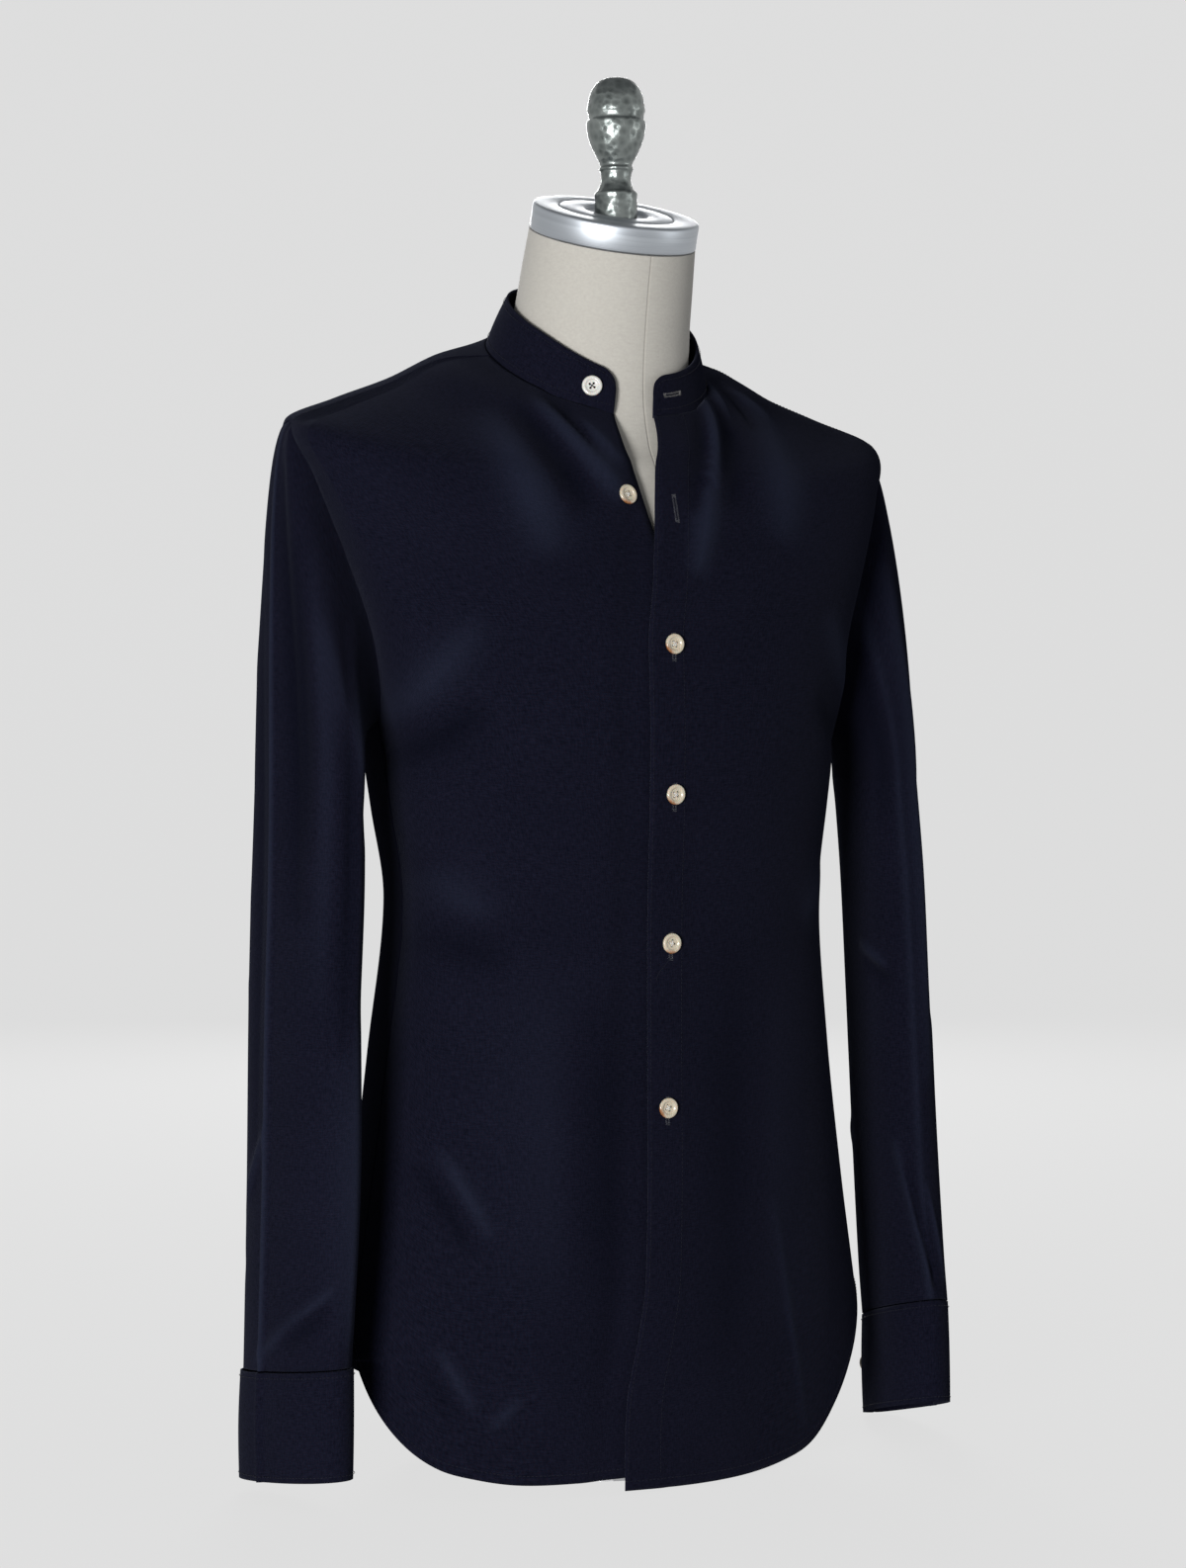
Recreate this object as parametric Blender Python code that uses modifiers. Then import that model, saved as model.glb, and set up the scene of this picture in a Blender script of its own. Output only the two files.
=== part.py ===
"""A mandarin collar shirt, buttoned below an open neck, worn on a limbless dress form.

Metres, +Z up. The wearer faces -Y, so +X is the wearer's left. The origin is the middle of the
foot plate's underside. Cloth pieces are cut from one body surface, a stack of rings whose sizes
stand in short tables, and each piece is a sheet with its wall between two grids of points.
"""
import math
from collections import namedtuple

import bmesh
import bpy
from mathutils import Matrix, Vector

# ---- driving sizes --------------------------------------------------------------------------
WALL = 0.0014            # cloth and its seams
BAND_WALL = 0.0020       # collar band and cuffs are two layers
GAP = 0.0003             # between pieces at a seam
CENTRE_FRONT = -0.005    # x of the button line
BAND_HEIGHT = 0.0325
BUTTON_RADIUS = 0.0066
BUTTON_HEIGHT = 0.0026
NECK_TILT = 17.8         # degrees, the neck leans forward
NOTCH_RIGHT = 0.098      # height of the side notches in the hem
NOTCH_LEFT = 0.112
ARMPIT_LEVEL = 0.498
TIP_LEVEL = 0.694        # ring through the two shoulder tips
NECK_LEVEL = 0.780       # ring of the neck seam

# ---- clean scene, collections, finishes -----------------------------------------------------
for item in list(bpy.data.objects):
    bpy.data.objects.remove(item, do_unlink=True)

scene = bpy.context.scene
parts = bpy.data.collections.new("mandarin_collar_shirt")
scene.collection.children.link(parts)
cutters = bpy.data.collections.new("cutters")
scene.collection.children.link(cutters)


def finish(name, colour, roughness, metallic=0.0):
    material = bpy.data.materials.new(name)
    material.use_nodes = True
    shader = material.node_tree.nodes["Principled BSDF"]
    shader.inputs["Base Color"].default_value = (*colour, 1.0)
    shader.inputs["Roughness"].default_value = roughness
    shader.inputs["Metallic"].default_value = metallic
    return material


NAVY = (0.010, 0.011, 0.020)
SHELL = (0.72, 0.66, 0.52)
COVER = (0.68, 0.65, 0.60)
ALUMINIUM = (0.42, 0.44, 0.47)


def link(name, mesh, material, collection=None):
    thing = bpy.data.objects.new(name, mesh)
    (collection or parts).objects.link(thing)
    mesh.materials.append(material)
    return thing


# ---- the body surface -----------------------------------------------------------------------
# level: the ring's name on the way up; heights at the front, side and back of the ring;
# half_width, front and back: how far it reaches; middle: y of its widest place;
# fullness: 2 is an ellipse, more is squarer, less is more pointed at the sides.
Ring = namedtuple("Ring", "level front_z side_z back_z half_width front back middle fullness")

SHIRT_RINGS = [
    Ring(0.000, 0.000, 0.000, 0.000, 0.193, 0.101, 0.102, -0.004, 1.80),
    Ring(0.060, 0.060, 0.060, 0.060, 0.193, 0.103, 0.104, -0.004, 1.82),
    Ring(0.095, 0.095, 0.095, 0.095, 0.191, 0.103, 0.112, -0.002, 1.85),
    Ring(0.190, 0.190, 0.190, 0.190, 0.175, 0.103, 0.120, 0.002, 2.05),
    Ring(0.280, 0.280, 0.280, 0.280, 0.162, 0.101, 0.116, 0.003, 2.18),
    Ring(0.380, 0.380, 0.380, 0.380, 0.152, 0.101, 0.102, 0.000, 2.25),
    Ring(0.440, 0.440, 0.440, 0.440, 0.159, 0.105, 0.112, 0.003, 2.25),
    Ring(0.498, 0.498, 0.498, 0.498, 0.168, 0.107, 0.117, 0.004, 2.25),
    Ring(0.550, 0.548, 0.552, 0.552, 0.178, 0.104, 0.119, 0.006, 2.25),
    Ring(0.605, 0.590, 0.607, 0.603, 0.195, 0.099, 0.119, 0.010, 2.25),
    Ring(0.655, 0.622, 0.657, 0.648, 0.210, 0.093, 0.117, 0.016, 2.20),
    Ring(0.694, 0.645, 0.690, 0.684, 0.2155, 0.086, 0.111, 0.024, 2.15),
    Ring(0.715, 0.658, 0.7042, 0.704, 0.180, 0.081, 0.103, 0.028, 2.10),
    Ring(0.735, 0.669, 0.7172, 0.721, 0.142, 0.077, 0.096, 0.028, 2.05),
    Ring(0.755, 0.682, 0.7325, 0.741, 0.107, 0.070, 0.088, 0.024, 2.00),
    Ring(0.780, 0.6960, 0.7340, 0.7640, 0.0740, 0.0600, 0.0830, 0.0100, 2.00),
]


def between(rings, level):
    """The ring at a level, by a smooth curve through the table's columns."""
    last = len(rings) - 1
    low = 0
    while low < last - 1 and level > rings[low + 1].level:
        low += 1
    below = rings[low]
    above = rings[low + 1]
    span = above.level - below.level
    share = (level - below.level) / span
    before = rings[max(low - 1, 0)]
    after = rings[min(low + 2, last)]
    columns = []
    for first, start, end, final in zip(before, below, above, after):
        rise_start = (end - first) / (above.level - before.level) * span
        rise_end = (final - start) / (after.level - below.level) * span
        square = share * share
        cube = square * share
        columns.append(
            (2 * cube - 3 * square + 1) * start
            + (cube - 2 * square + share) * rise_start
            + (3 * square - 2 * cube) * end
            + (cube - square) * rise_end
        )
    return Ring(*columns)


def ring_point(ring, turn):
    """A point of a ring; turn is in degrees, 0 in front, +90 at the wearer's left, 180 behind."""
    across = math.sin(math.radians(turn))
    along = math.cos(math.radians(turn))
    power = ring.fullness
    reach = (abs(across) ** power + abs(along) ** power) ** (-1.0 / power)
    depth = ring.front + ring.middle if along > 0 else ring.back - ring.middle
    lean = (ring.front_z - ring.back_z) / 2
    bow = (ring.front_z + ring.back_z) / 2 - ring.side_z
    return Vector((
        ring.half_width * across * reach,
        ring.middle - depth * along * reach,
        ring.side_z + lean * along + bow * along * along,
    ))


def body_point(turn, level, out=0.0):
    """A point of the shirt body, moved out along the surface's normal."""
    point = ring_point(between(SHIRT_RINGS, level), turn)
    if out == 0.0:
        return point
    step = 0.0015
    sideways = ring_point(between(SHIRT_RINGS, level), turn + 0.6) - \
        ring_point(between(SHIRT_RINGS, level), turn - 0.6)
    upwards = ring_point(between(SHIRT_RINGS, level + step), turn) - \
        ring_point(between(SHIRT_RINGS, level - step), turn)
    return point + sideways.cross(upwards).normalized() * out


def turn_at(x, level):
    """The turn, near the front, where the body surface has this x."""
    ring = between(SHIRT_RINGS, level)
    low = -60.0
    high = 60.0
    for _ in range(40):
        middle = (low + high) / 2
        if ring_point(ring, middle).x < x:
            low = middle
        else:
            high = middle
    return (low + high) / 2


# ---- seam lines on the body, as (turn, level) -----------------------------------------------
SIDE_TURN = 85.0
TIP_TURN = 91.0
ARMHOLE_FRONT = 9.0       # how far the armhole swings forward, in degrees of turn
ARMHOLE_BACK = 24.0
YOKE_FRONT_ANGLE = 167.0  # place on the armhole where the front yoke seam ends
YOKE_BACK_ANGLE = 138.0
YOKE_NECK_TURN = 97.0     # place on the neck seam where the front yoke seam starts
YOKE_BACK_LEVEL = 0.672
RIGHT_NECK_TURN = -17.5   # ends of the two fronts and of the band at the open neck
LEFT_NECK_TURN = 3.5

# The hem's height against the share of the way from the centre to the side seam.
Hem = namedtuple("Hem", "share right left back")
HEM = [
    Hem(0.00, 0.0122, 0.0032, 0.0050),
    Hem(0.25, 0.0102, 0.0032, 0.0090),
    Hem(0.40, 0.0105, 0.0075, 0.0300),
    Hem(0.52, 0.0145, 0.0165, 0.0560),
    Hem(0.64, 0.0215, 0.0405, 0.0690),
    Hem(0.76, 0.0370, 0.0695, 0.0790),
    Hem(0.88, 0.0620, 0.0970, 0.0880),
    Hem(1.00, NOTCH_RIGHT, NOTCH_LEFT, NOTCH_RIGHT),
]

# x of the two front edges on the way up.
Edge = namedtuple("Edge", "level right left")
EDGES = [
    Edge(0.000, 0.000, -0.0370),
    Edge(0.060, 0.002, -0.0365),
    Edge(0.100, 0.005, -0.0290),
    Edge(0.140, 0.007, -0.0235),
    Edge(0.360, 0.007, -0.0215),
    Edge(0.548, 0.007, -0.0225),
    Edge(0.595, 0.001, -0.0175),
    Edge(0.655, -0.0125, -0.0125),
    Edge(0.690, -0.0170, -0.0090),
    Edge(0.730, -0.0210, -0.0035),
    Edge(0.780, None, None),
]


def column(rows, key, name, value):
    """One column of a table, joined by straight runs with eased corners."""
    pairs = [(getattr(row, key), getattr(row, name)) for row in rows
             if getattr(row, name) is not None]
    if value <= pairs[0][0]:
        return pairs[0][1]
    for index in range(len(pairs) - 1):
        low, start = pairs[index]
        high, end = pairs[index + 1]
        if value <= high:
            first_low, first = pairs[max(index - 1, 0)]
            last_high, final = pairs[min(index + 2, len(pairs) - 1)]
            span = high - low
            share = (value - low) / span
            rise_start = (end - first) / (high - first_low) * span
            rise_end = (final - start) / (last_high - low) * span
            square = share * share
            cube = square * share
            return ((2 * cube - 3 * square + 1) * start + (cube - 2 * square + share) * rise_start
                    + (3 * square - 2 * cube) * end + (cube - square) * rise_end)
    return pairs[-1][1]


def edge_turn(side, level):
    """Turn of a front's edge; it runs into the neck end at the neck seam."""
    name = "right" if side < 0 else "left"
    neck_turn = RIGHT_NECK_TURN if side < 0 else LEFT_NECK_TURN
    last = EDGES[-2].level
    if level <= last:
        return turn_at(column(EDGES, "level", name, level), level)
    start = turn_at(getattr(EDGES[-2], name), last)
    return start + (neck_turn - start) * (level - last) / (NECK_LEVEL - last)


def armhole(angle, side):
    """Armhole loop: angle 0 at the armpit, 180 at the shoulder tip, below 180 in front."""
    swing = math.sin(math.radians(angle))
    rise = (1 - math.cos(math.radians(angle))) / 2
    reach = ARMHOLE_FRONT if swing > 0 else ARMHOLE_BACK
    turn = SIDE_TURN + (TIP_TURN - SIDE_TURN) * rise - reach * swing
    return side * turn, ARMPIT_LEVEL + (TIP_LEVEL - ARMPIT_LEVEL) * rise


def mix(start, end, share):
    return tuple(a + (b - a) * share for a, b in zip(start, end))


def run_of(share, *stretches):
    """A boundary made of stretches (length share, number of steps, function of 0..1)."""
    begin = 0.0
    for length, _, line in stretches:
        if share <= begin + length or line is stretches[-1][-1]:
            return line(min(max((share - begin) / length, 0.0), 1.0))
        begin += length


def stops(*stretches):
    """The shares at which a boundary of such stretches has its points."""
    shares = [0.0]
    for length, steps, *_ in stretches:
        begin = shares[-1]
        shares += [begin + length * (k + 1) / steps for k in range(steps)]
    return shares


def spread(low, high, start, end, across, up):
    """Grid of (turn, level) between four boundary lines (a Coons patch)."""
    corners = (low(0.0), low(1.0), high(0.0), high(1.0))
    grid = []
    for v in up:
        line = []
        for u in across:
            place = []
            for axis in range(2):
                ruled = (1 - v) * low(u)[axis] + v * high(u)[axis]
                ruled += (1 - u) * start(v)[axis] + u * end(v)[axis]
                ruled -= (1 - v) * ((1 - u) * corners[0][axis] + u * corners[1][axis])
                ruled -= v * ((1 - u) * corners[2][axis] + u * corners[3][axis])
                place.append(ruled)
            line.append(tuple(place))
        grid.append(line)
    return grid


# ---- sheets ---------------------------------------------------------------------------------
def sheet(name, outer, inner, closed=False):
    """A wall of cloth between an outer and an inner grid, closed by its cut edges."""
    rows = len(outer)
    columns = len(outer[0])
    mesh = bpy.data.meshes.new(name)
    shape = bmesh.new()
    faces = [[[shape.verts.new(point) for point in line] for line in grid]
             for grid in (outer, inner)]
    beside = [(i, (i + 1) % columns) for i in range(columns if closed else columns - 1)]
    for j in range(rows - 1):
        for i, k in beside:
            for side, grid in enumerate(faces):
                ring = (grid[j][i], grid[j][k], grid[j + 1][k], grid[j + 1][i])
                shape.faces.new(ring if side == 0 else ring[::-1])
    over, under = faces
    for i, k in beside:
        shape.faces.new((over[0][k], over[0][i], under[0][i], under[0][k]))
        shape.faces.new((over[-1][i], over[-1][k], under[-1][k], under[-1][i]))
    if not closed:
        for j in range(rows - 1):
            shape.faces.new((over[j][0], over[j + 1][0], under[j + 1][0], under[j][0]))
            shape.faces.new((over[j + 1][-1], over[j][-1], under[j][-1], under[j + 1][-1]))
    shape.to_mesh(mesh)
    shape.free()
    mesh.shade_smooth()
    mesh.set_sharp_from_angle(angle=math.radians(50))
    return link(name, mesh, cloth)


def walls(grid, point, wall=WALL):
    """The outer and the inner points of a grid of places on a surface."""
    return ([[point(*place, 0.0) for place in line] for line in grid],
            [[point(*place, -wall) for place in line] for line in grid])


cloth = finish("navy_plain_weave", NAVY, 0.85)

# ---- the two fronts -------------------------------------------------------------------------
# Steps along each stretch; two pieces that meet have the same steps along their seam.
SIDE_STEPS = 12
FRONT_ARMHOLE_STEPS = 8
BACK_ARMHOLE_STEPS = 7
SHOULDER_STEPS = 4
NECK_STEPS = 6
YOKE_FRONT_STEPS = 6
YOKE_BACK_STEPS = 18
SEAM = 0.25               # degrees of turn that a side seam's gap takes
SEAM_LEVEL = 0.0006
BACK_TIP_GAP = 0.8        # degrees along the armhole, between the back and the yoke
NECK_SEAM_LEVEL = NECK_LEVEL - 0.0012


def front_grid(side):
    name = "right" if side < 0 else "left"
    neck_turn = RIGHT_NECK_TURN if side < 0 else LEFT_NECK_TURN
    notch = NOTCH_RIGHT if side < 0 else NOTCH_LEFT
    hem_start = column(HEM, "share", name, 0.0)
    yoke_neck = (side * YOKE_NECK_TURN, NECK_SEAM_LEVEL)
    yoke_tip = armhole(YOKE_FRONT_ANGLE, side)

    def low(u):
        turn = edge_turn(side, hem_start) * (1 - u) + side * SIDE_TURN * u
        return turn, column(HEM, "share", name, u)

    def start(v):
        level = hem_start + (NECK_SEAM_LEVEL - hem_start) * v
        return edge_turn(side, level), level

    side_line = (
        (0.60, SIDE_STEPS, lambda s: mix((side * SIDE_TURN, notch),
                                         (side * SIDE_TURN, ARMPIT_LEVEL), s)),
        (0.40, FRONT_ARMHOLE_STEPS, lambda s: armhole(YOKE_FRONT_ANGLE * s, side)),
    )
    top_line = (
        (0.30, NECK_STEPS, lambda s: mix((neck_turn, NECK_SEAM_LEVEL), yoke_neck, s)),
        (0.70, YOKE_FRONT_STEPS, lambda s: mix(yoke_neck, yoke_tip, s)),
    )
    return spread(low, lambda u: run_of(u, *top_line), start, lambda v: run_of(v, *side_line),
                  stops(*top_line), stops(*side_line))


def eased(value, low, high):
    share = min(max((value - low) / (high - low), 0.0), 1.0)
    return share * share * (3 - 2 * share)


LAYER = WALL + 3 * GAP    # how far the underlap sinks below the overlap


def front_point(side, turn, level, out=0.0):
    """The right front sinks under the left one near the button line."""
    if side > 0:
        return body_point(turn, level, out)
    x = body_point(turn, level).x
    edge = column(EDGES, "level", "left", min(level, EDGES[-2].level))
    return body_point(turn, level, out - LAYER * eased(x, edge - 0.030, edge - 0.012))


def build_front(side):
    grid = front_grid(side)
    if side < 0:
        grid = [line[::-1] for line in grid]
    outer, inner = walls(grid, lambda turn, level, out: front_point(side, turn, level, out))
    return sheet("front_right" if side < 0 else "front_left", outer, inner)


build_front(-1)
build_front(1)

# ---- the back -------------------------------------------------------------------------------
def behind(place, side):
    """The same place on the wearer's left or, with turn counted on past 180, on the right."""
    turn, level = place
    return (turn if side > 0 else 360 - turn), level


def yoke_back_level(turn):
    """The back yoke seam: level across the shoulder blades, a little higher at the armholes."""
    tip_turn, tip_level = armhole(-YOKE_BACK_ANGLE, 1)
    share = abs(turn - 180) / (180 - tip_turn)
    return YOKE_BACK_LEVEL + (tip_level - YOKE_BACK_LEVEL) * share * share


def back_grid():
    """The back runs from the wearer's left side seam round behind to the right one."""
    first = SIDE_TURN + SEAM
    tip_angle = YOKE_BACK_ANGLE - BACK_TIP_GAP
    left = armhole(-tip_angle, 1)
    right = behind(left, -1)

    def low(u):
        level = column(HEM, "share", "back", abs(2 * u - 1))
        return first + (360 - 2 * first) * u, level + (NOTCH_LEFT - NOTCH_RIGHT) * (1 - u) ** 4

    def high(u):
        turn = left[0] + (right[0] - left[0]) * u
        return turn, yoke_back_level(turn) - SEAM_LEVEL

    def side_line(side):
        notch = NOTCH_RIGHT if side < 0 else NOTCH_LEFT
        return (
            (0.62, SIDE_STEPS, lambda s: behind(mix((first, notch), (first, ARMPIT_LEVEL), s),
                                                side)),
            (0.38, BACK_ARMHOLE_STEPS, lambda s: behind(armhole(-tip_angle * s, 1), side)),
        )

    return spread(low, high, lambda v: run_of(v, *side_line(1)),
                  lambda v: run_of(v, *side_line(-1)), stops((1.0, YOKE_BACK_STEPS)),
                  stops(*side_line(1)))


sheet("back", *walls(back_grid(), body_point))

# ---- the yoke -------------------------------------------------------------------------------
YOKE_NECK_GAP = 0.35      # degrees, between the front's end and the yoke's at the neck
YOKE_TIP_GAP = 0.8        # the same along the armhole


def yoke_grid():
    """One piece over both shoulders: armhole, back seam, armhole; then up to the neck."""
    tip_left = armhole(YOKE_FRONT_ANGLE + YOKE_TIP_GAP, 1)
    neck_left = (YOKE_NECK_TURN + YOKE_NECK_GAP, NECK_SEAM_LEVEL)
    left = armhole(-YOKE_BACK_ANGLE, 1)
    right = behind(left, -1)

    def over(side, s):
        begin = YOKE_FRONT_ANGLE + YOKE_TIP_GAP
        return behind(armhole(begin + (360 - YOKE_BACK_ANGLE - begin) * s, 1), side)

    def seam(s):
        turn = left[0] + (right[0] - left[0]) * s
        return turn, yoke_back_level(turn)

    low_line = (
        (0.22, SHOULDER_STEPS, lambda s: over(1, s)),
        (0.56, YOKE_BACK_STEPS, seam),
        (0.22, SHOULDER_STEPS, lambda s: over(-1, 1 - s)),
    )
    return spread(lambda u: run_of(u, *low_line),
                  lambda u: mix(neck_left, behind(neck_left, -1), u),
                  lambda v: mix(tip_left, neck_left, v),
                  lambda v: behind(mix(tip_left, neck_left, v), -1),
                  stops(*low_line), stops((1.0, YOKE_FRONT_STEPS)))


sheet("yoke", *walls(yoke_grid(), body_point))

# ---- collar band ----------------------------------------------------------------------------
BAND_COLUMNS = 40
BAND_ROWS = 3
BAND_CORNER = 0.013       # radius of the band's front corners
BAND_LEAN_FRONT = 0.38    # how far the band's top leans in, as a slope
BAND_LEAN_BACK = 0.30
BAND_END_HEIGHT = 0.026
BAND_TILT = math.radians(20.0)


def neck_seam(turn):
    return ring_point(SHIRT_RINGS[-1], turn)


def from_front(turn):
    return abs((turn + 180) % 360 - 180)


def band_height(turn):
    """The band is full height round the back and lower towards its front ends."""
    first, last = (45.0, 140.0) if turn % 360 < 180 else (12.0, 75.0)
    full = eased(from_front(turn), first, last)
    return BAND_END_HEIGHT + (BAND_HEIGHT - BAND_END_HEIGHT) * full


def band_point(turn, rise, out=0.0):
    """A point of the band; rise is the height above the seam, along the band."""
    foot = neck_seam(turn)
    centre = Vector((0.0, SHIRT_RINGS[-1].middle, foot.z))
    outward = (foot - centre).normalized()
    axis = Vector((0.0, -math.sin(BAND_TILT), math.cos(BAND_TILT)))
    lean = BAND_LEAN_FRONT + (BAND_LEAN_BACK - BAND_LEAN_FRONT) * eased(from_front(turn), 60, 125)
    upright = (axis - outward * lean).normalized()
    around = (neck_seam(turn + 1) - neck_seam(turn - 1)).normalized()
    return foot + axis * (2 * GAP) + upright * rise + around.cross(upright).normalized() * out


def band_grid(columns, rows):
    first = LEFT_NECK_TURN + 0.5
    last = 360 + RIGHT_NECK_TURN - 0.5
    length = 0.42
    grid = [[] for _ in range(rows + 1)]
    for i in range(columns + 1):
        share = i / columns
        ease = share - 0.055 * math.sin(2 * math.pi * share)
        turn = first + (last - first) * ease
        from_end = min(ease, 1 - ease) * length
        drop = 0.0
        if from_end < BAND_CORNER:
            run = BAND_CORNER - from_end
            drop = BAND_CORNER - math.sqrt(BAND_CORNER ** 2 - run ** 2)
        top = band_height(turn) - 0.9 * drop
        for j, line in enumerate(grid):
            line.append((turn, top * j / rows))
    return grid


sheet("collar_band", *walls(band_grid(BAND_COLUMNS, BAND_ROWS), band_point, BAND_WALL))

# ---- sleeves --------------------------------------------------------------------------------
# level: height of the tube's ring; x and y: its middle; half_width and half_depth: its reach
# across and along the body; twist: degrees that its front edge turns towards the body;
# lift: how much the ring rises towards its front, as a slope.
Tube = namedtuple("Tube", "level x y half_width half_depth twist lift")
SLEEVE = [
    Tube(0.4550, 0.2140, 0.001, 0.0228, 0.0545, 11.0, 0.00),
    Tube(0.3900, 0.2170, -0.004, 0.0230, 0.0550, 11.0, 0.00),
    Tube(0.3100, 0.2205, -0.006, 0.0228, 0.0545, 10.5, 0.04),
    Tube(0.2000, 0.2243, -0.010, 0.0227, 0.0540, 10.0, 0.12),
    Tube(0.1200, 0.2278, -0.013, 0.0226, 0.0538, 9.5, 0.19),
    Tube(0.0862, 0.2296, -0.015, 0.0226, 0.0536, 9.5, 0.22),
]
HEAD_RINGS = 8
TUBE_RINGS = 9
CREASE = 0.0010           # height of the pressed crease along the outside
LIFT_SHARE = {-1: 0.6, 1: 1.2}   # the right sleeve hangs straighter than the left one


def tube_at(rows, level, lift_share=1.0):
    values = [level]
    for name in Tube._fields[1:]:
        values.append(column(rows[::-1], "level", name, level))
    tube = Tube(*values)
    return tube._replace(lift=tube.lift * lift_share)


def tube_point(tube, angle, out=0.0):
    """angle 0 is the outer crease, 90 the front, 180 the underside seam, 270 the back."""
    across = math.cos(math.radians(angle))
    along = math.sin(math.radians(angle))
    fold = (angle + 180) % 360 - 180
    ridge = CREASE * math.exp(-((fold / 9.0) ** 2))
    forward = along * (tube.half_depth + out)
    local = Vector((across * (tube.half_width + out) + ridge, -forward, forward * tube.lift))
    turned_in = Matrix.Rotation(math.radians(-tube.twist), 3, "Z") @ local
    return Vector((tube.x, tube.y, tube.level)) + turned_in


def sleeve_leave(angle):
    """Direction in which the sleeve leaves the armhole."""
    top = (1 + math.cos(math.radians(angle))) / 2
    forward = math.sin(math.radians(angle))
    return Vector((1.0, -0.10 * forward, 0.30 - 0.80 * top)).normalized()


ARMHOLE_MIDDLE = body_point(SIDE_TURN, (ARMPIT_LEVEL + TIP_LEVEL) / 2)


def head_point(angle, share, out=0.0):
    """Cubic curve from the armhole to the tube's first ring."""
    top = (1 + math.cos(math.radians(angle))) / 2
    forward = max(math.sin(math.radians(angle)), 0.0)
    leave = sleeve_leave(angle)
    first = body_point(*armhole(180 - angle, 1))
    away = first - ARMHOLE_MIDDLE
    away = (away - leave * away.dot(leave)).normalized()
    first = first + leave * (2 * GAP) + away * out
    last = tube_point(SLEEVE[0], angle, out)
    second = first + leave * (0.006 + 0.009 * top)
    drop = first.z - last.z
    third = last + Vector((0.0, 0.0, drop * (0.42 + 0.10 * top - 0.14 * forward)))
    back = 1 - share
    return (first * back ** 3 + second * 3 * back * back * share
            + third * 3 * back * share * share + last * share ** 3)


def sleeve_angles():
    """The sleeve's points round the armhole match those of the front, the yoke and the back."""
    front = [YOKE_FRONT_ANGLE * k / FRONT_ARMHOLE_STEPS for k in range(FRONT_ARMHOLE_STEPS)]
    back = [360 - YOKE_BACK_ANGLE * (1 - k / BACK_ARMHOLE_STEPS)
            for k in range(BACK_ARMHOLE_STEPS)]
    begin = YOKE_FRONT_ANGLE + YOKE_TIP_GAP / 2
    over = [begin + (back[0] - begin) * k / SHOULDER_STEPS for k in range(SHOULDER_STEPS)]
    return [180 - place for place in front + over + back]


def sleeve_rows(angles, head_rings, tube_rings, lift_share, out):
    """Rings from the cuff seam up to the armhole."""
    bottom = SLEEVE[-1].level + GAP
    rows = []
    for j in range(tube_rings):
        tube = tube_at(SLEEVE, bottom + (SLEEVE[0].level - bottom) * j / tube_rings, lift_share)
        rows.append([tube_point(tube, angle, out) for angle in angles])
    for j in range(head_rings + 1):
        rows.append([head_point(angle, 1 - j / head_rings, out) for angle in angles])
    return rows


def mirrored(points, side):
    """The wearer's left as it is, the right as its mirror image with its faces still out."""
    if side > 0:
        return points
    return [[Vector((-point.x, point.y, point.z)) for point in line][::-1] for line in points]


def build_sleeve(side):
    outer, inner = (
        mirrored(sleeve_rows(sleeve_angles(), HEAD_RINGS, TUBE_RINGS, LIFT_SHARE[side], out), side)
        for out in (0.0, -WALL))
    sheet("sleeve_right" if side < 0 else "sleeve_left", outer, inner, closed=True)


# ---- cuffs and sleeve plackets --------------------------------------------------------------
CUFF = [
    Tube(0.0855, 0.2300, -0.015, 0.0232, 0.0546, 11.0, 0.22),
    Tube(0.0500, 0.2306, -0.015, 0.0233, 0.0549, 11.0, 0.22),
    Tube(0.0160, 0.2310, -0.016, 0.0233, 0.0550, 11.0, 0.22),
]
CUFF_START = -110.0        # the cuff's ends overlap at the back
CUFF_OVERLAP = 24.0
CUFF_COLUMNS = 30
CUFF_ROWS = 3
CUFF_CORNER = 0.010
CUFF_ROUND = 0.27


def cuff_rows(columns, rows, lift_share, out):
    points = [[] for _ in range(rows + 1)]
    top = CUFF[0].level
    for i in range(columns + 1):
        share = 1 - i / columns
        angle = CUFF_START + (360 + CUFF_OVERLAP) * share
        layer = (BAND_WALL + 2 * GAP) * eased(share, 0.86, 0.925)
        from_end = min(share, 1 - share) * CUFF_ROUND
        drop = 0.0
        if from_end < CUFF_CORNER:
            run = CUFF_CORNER - from_end
            drop = CUFF_CORNER - math.sqrt(CUFF_CORNER ** 2 - run ** 2)
        bottom = CUFF[-1].level + 0.9 * drop
        for j, line in enumerate(points):
            tube = tube_at(CUFF, bottom + (top - bottom) * j / rows, lift_share)
            line.append(tube_point(tube, angle, layer + out))
    return points


def build_cuff(side):
    outer, inner = (mirrored(cuff_rows(CUFF_COLUMNS, CUFF_ROWS, LIFT_SHARE[side], out), side)
                    for out in (0.0, -BAND_WALL))
    sheet("cuff_right" if side < 0 else "cuff_left", outer, inner)


PLACKET_LENGTH = 0.130
PLACKET_ANGLE = 262.0      # on the back of the sleeve
PLACKET_SPREAD = 9.0
PLACKET_ROWS = 6


def placket_rows(lift_share, out):
    points = []
    bottom = SLEEVE[-1].level + 0.001
    for j in range(PLACKET_ROWS + 1):
        tube = tube_at(SLEEVE, bottom + PLACKET_LENGTH * j / PLACKET_ROWS, lift_share)
        narrow = 1.0 if j < PLACKET_ROWS else 0.35
        points.append([
            tube_point(tube, PLACKET_ANGLE + PLACKET_SPREAD * narrow * (1 - 2 * i / 3), out)
            for i in range(4)
        ])
    return points


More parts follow.
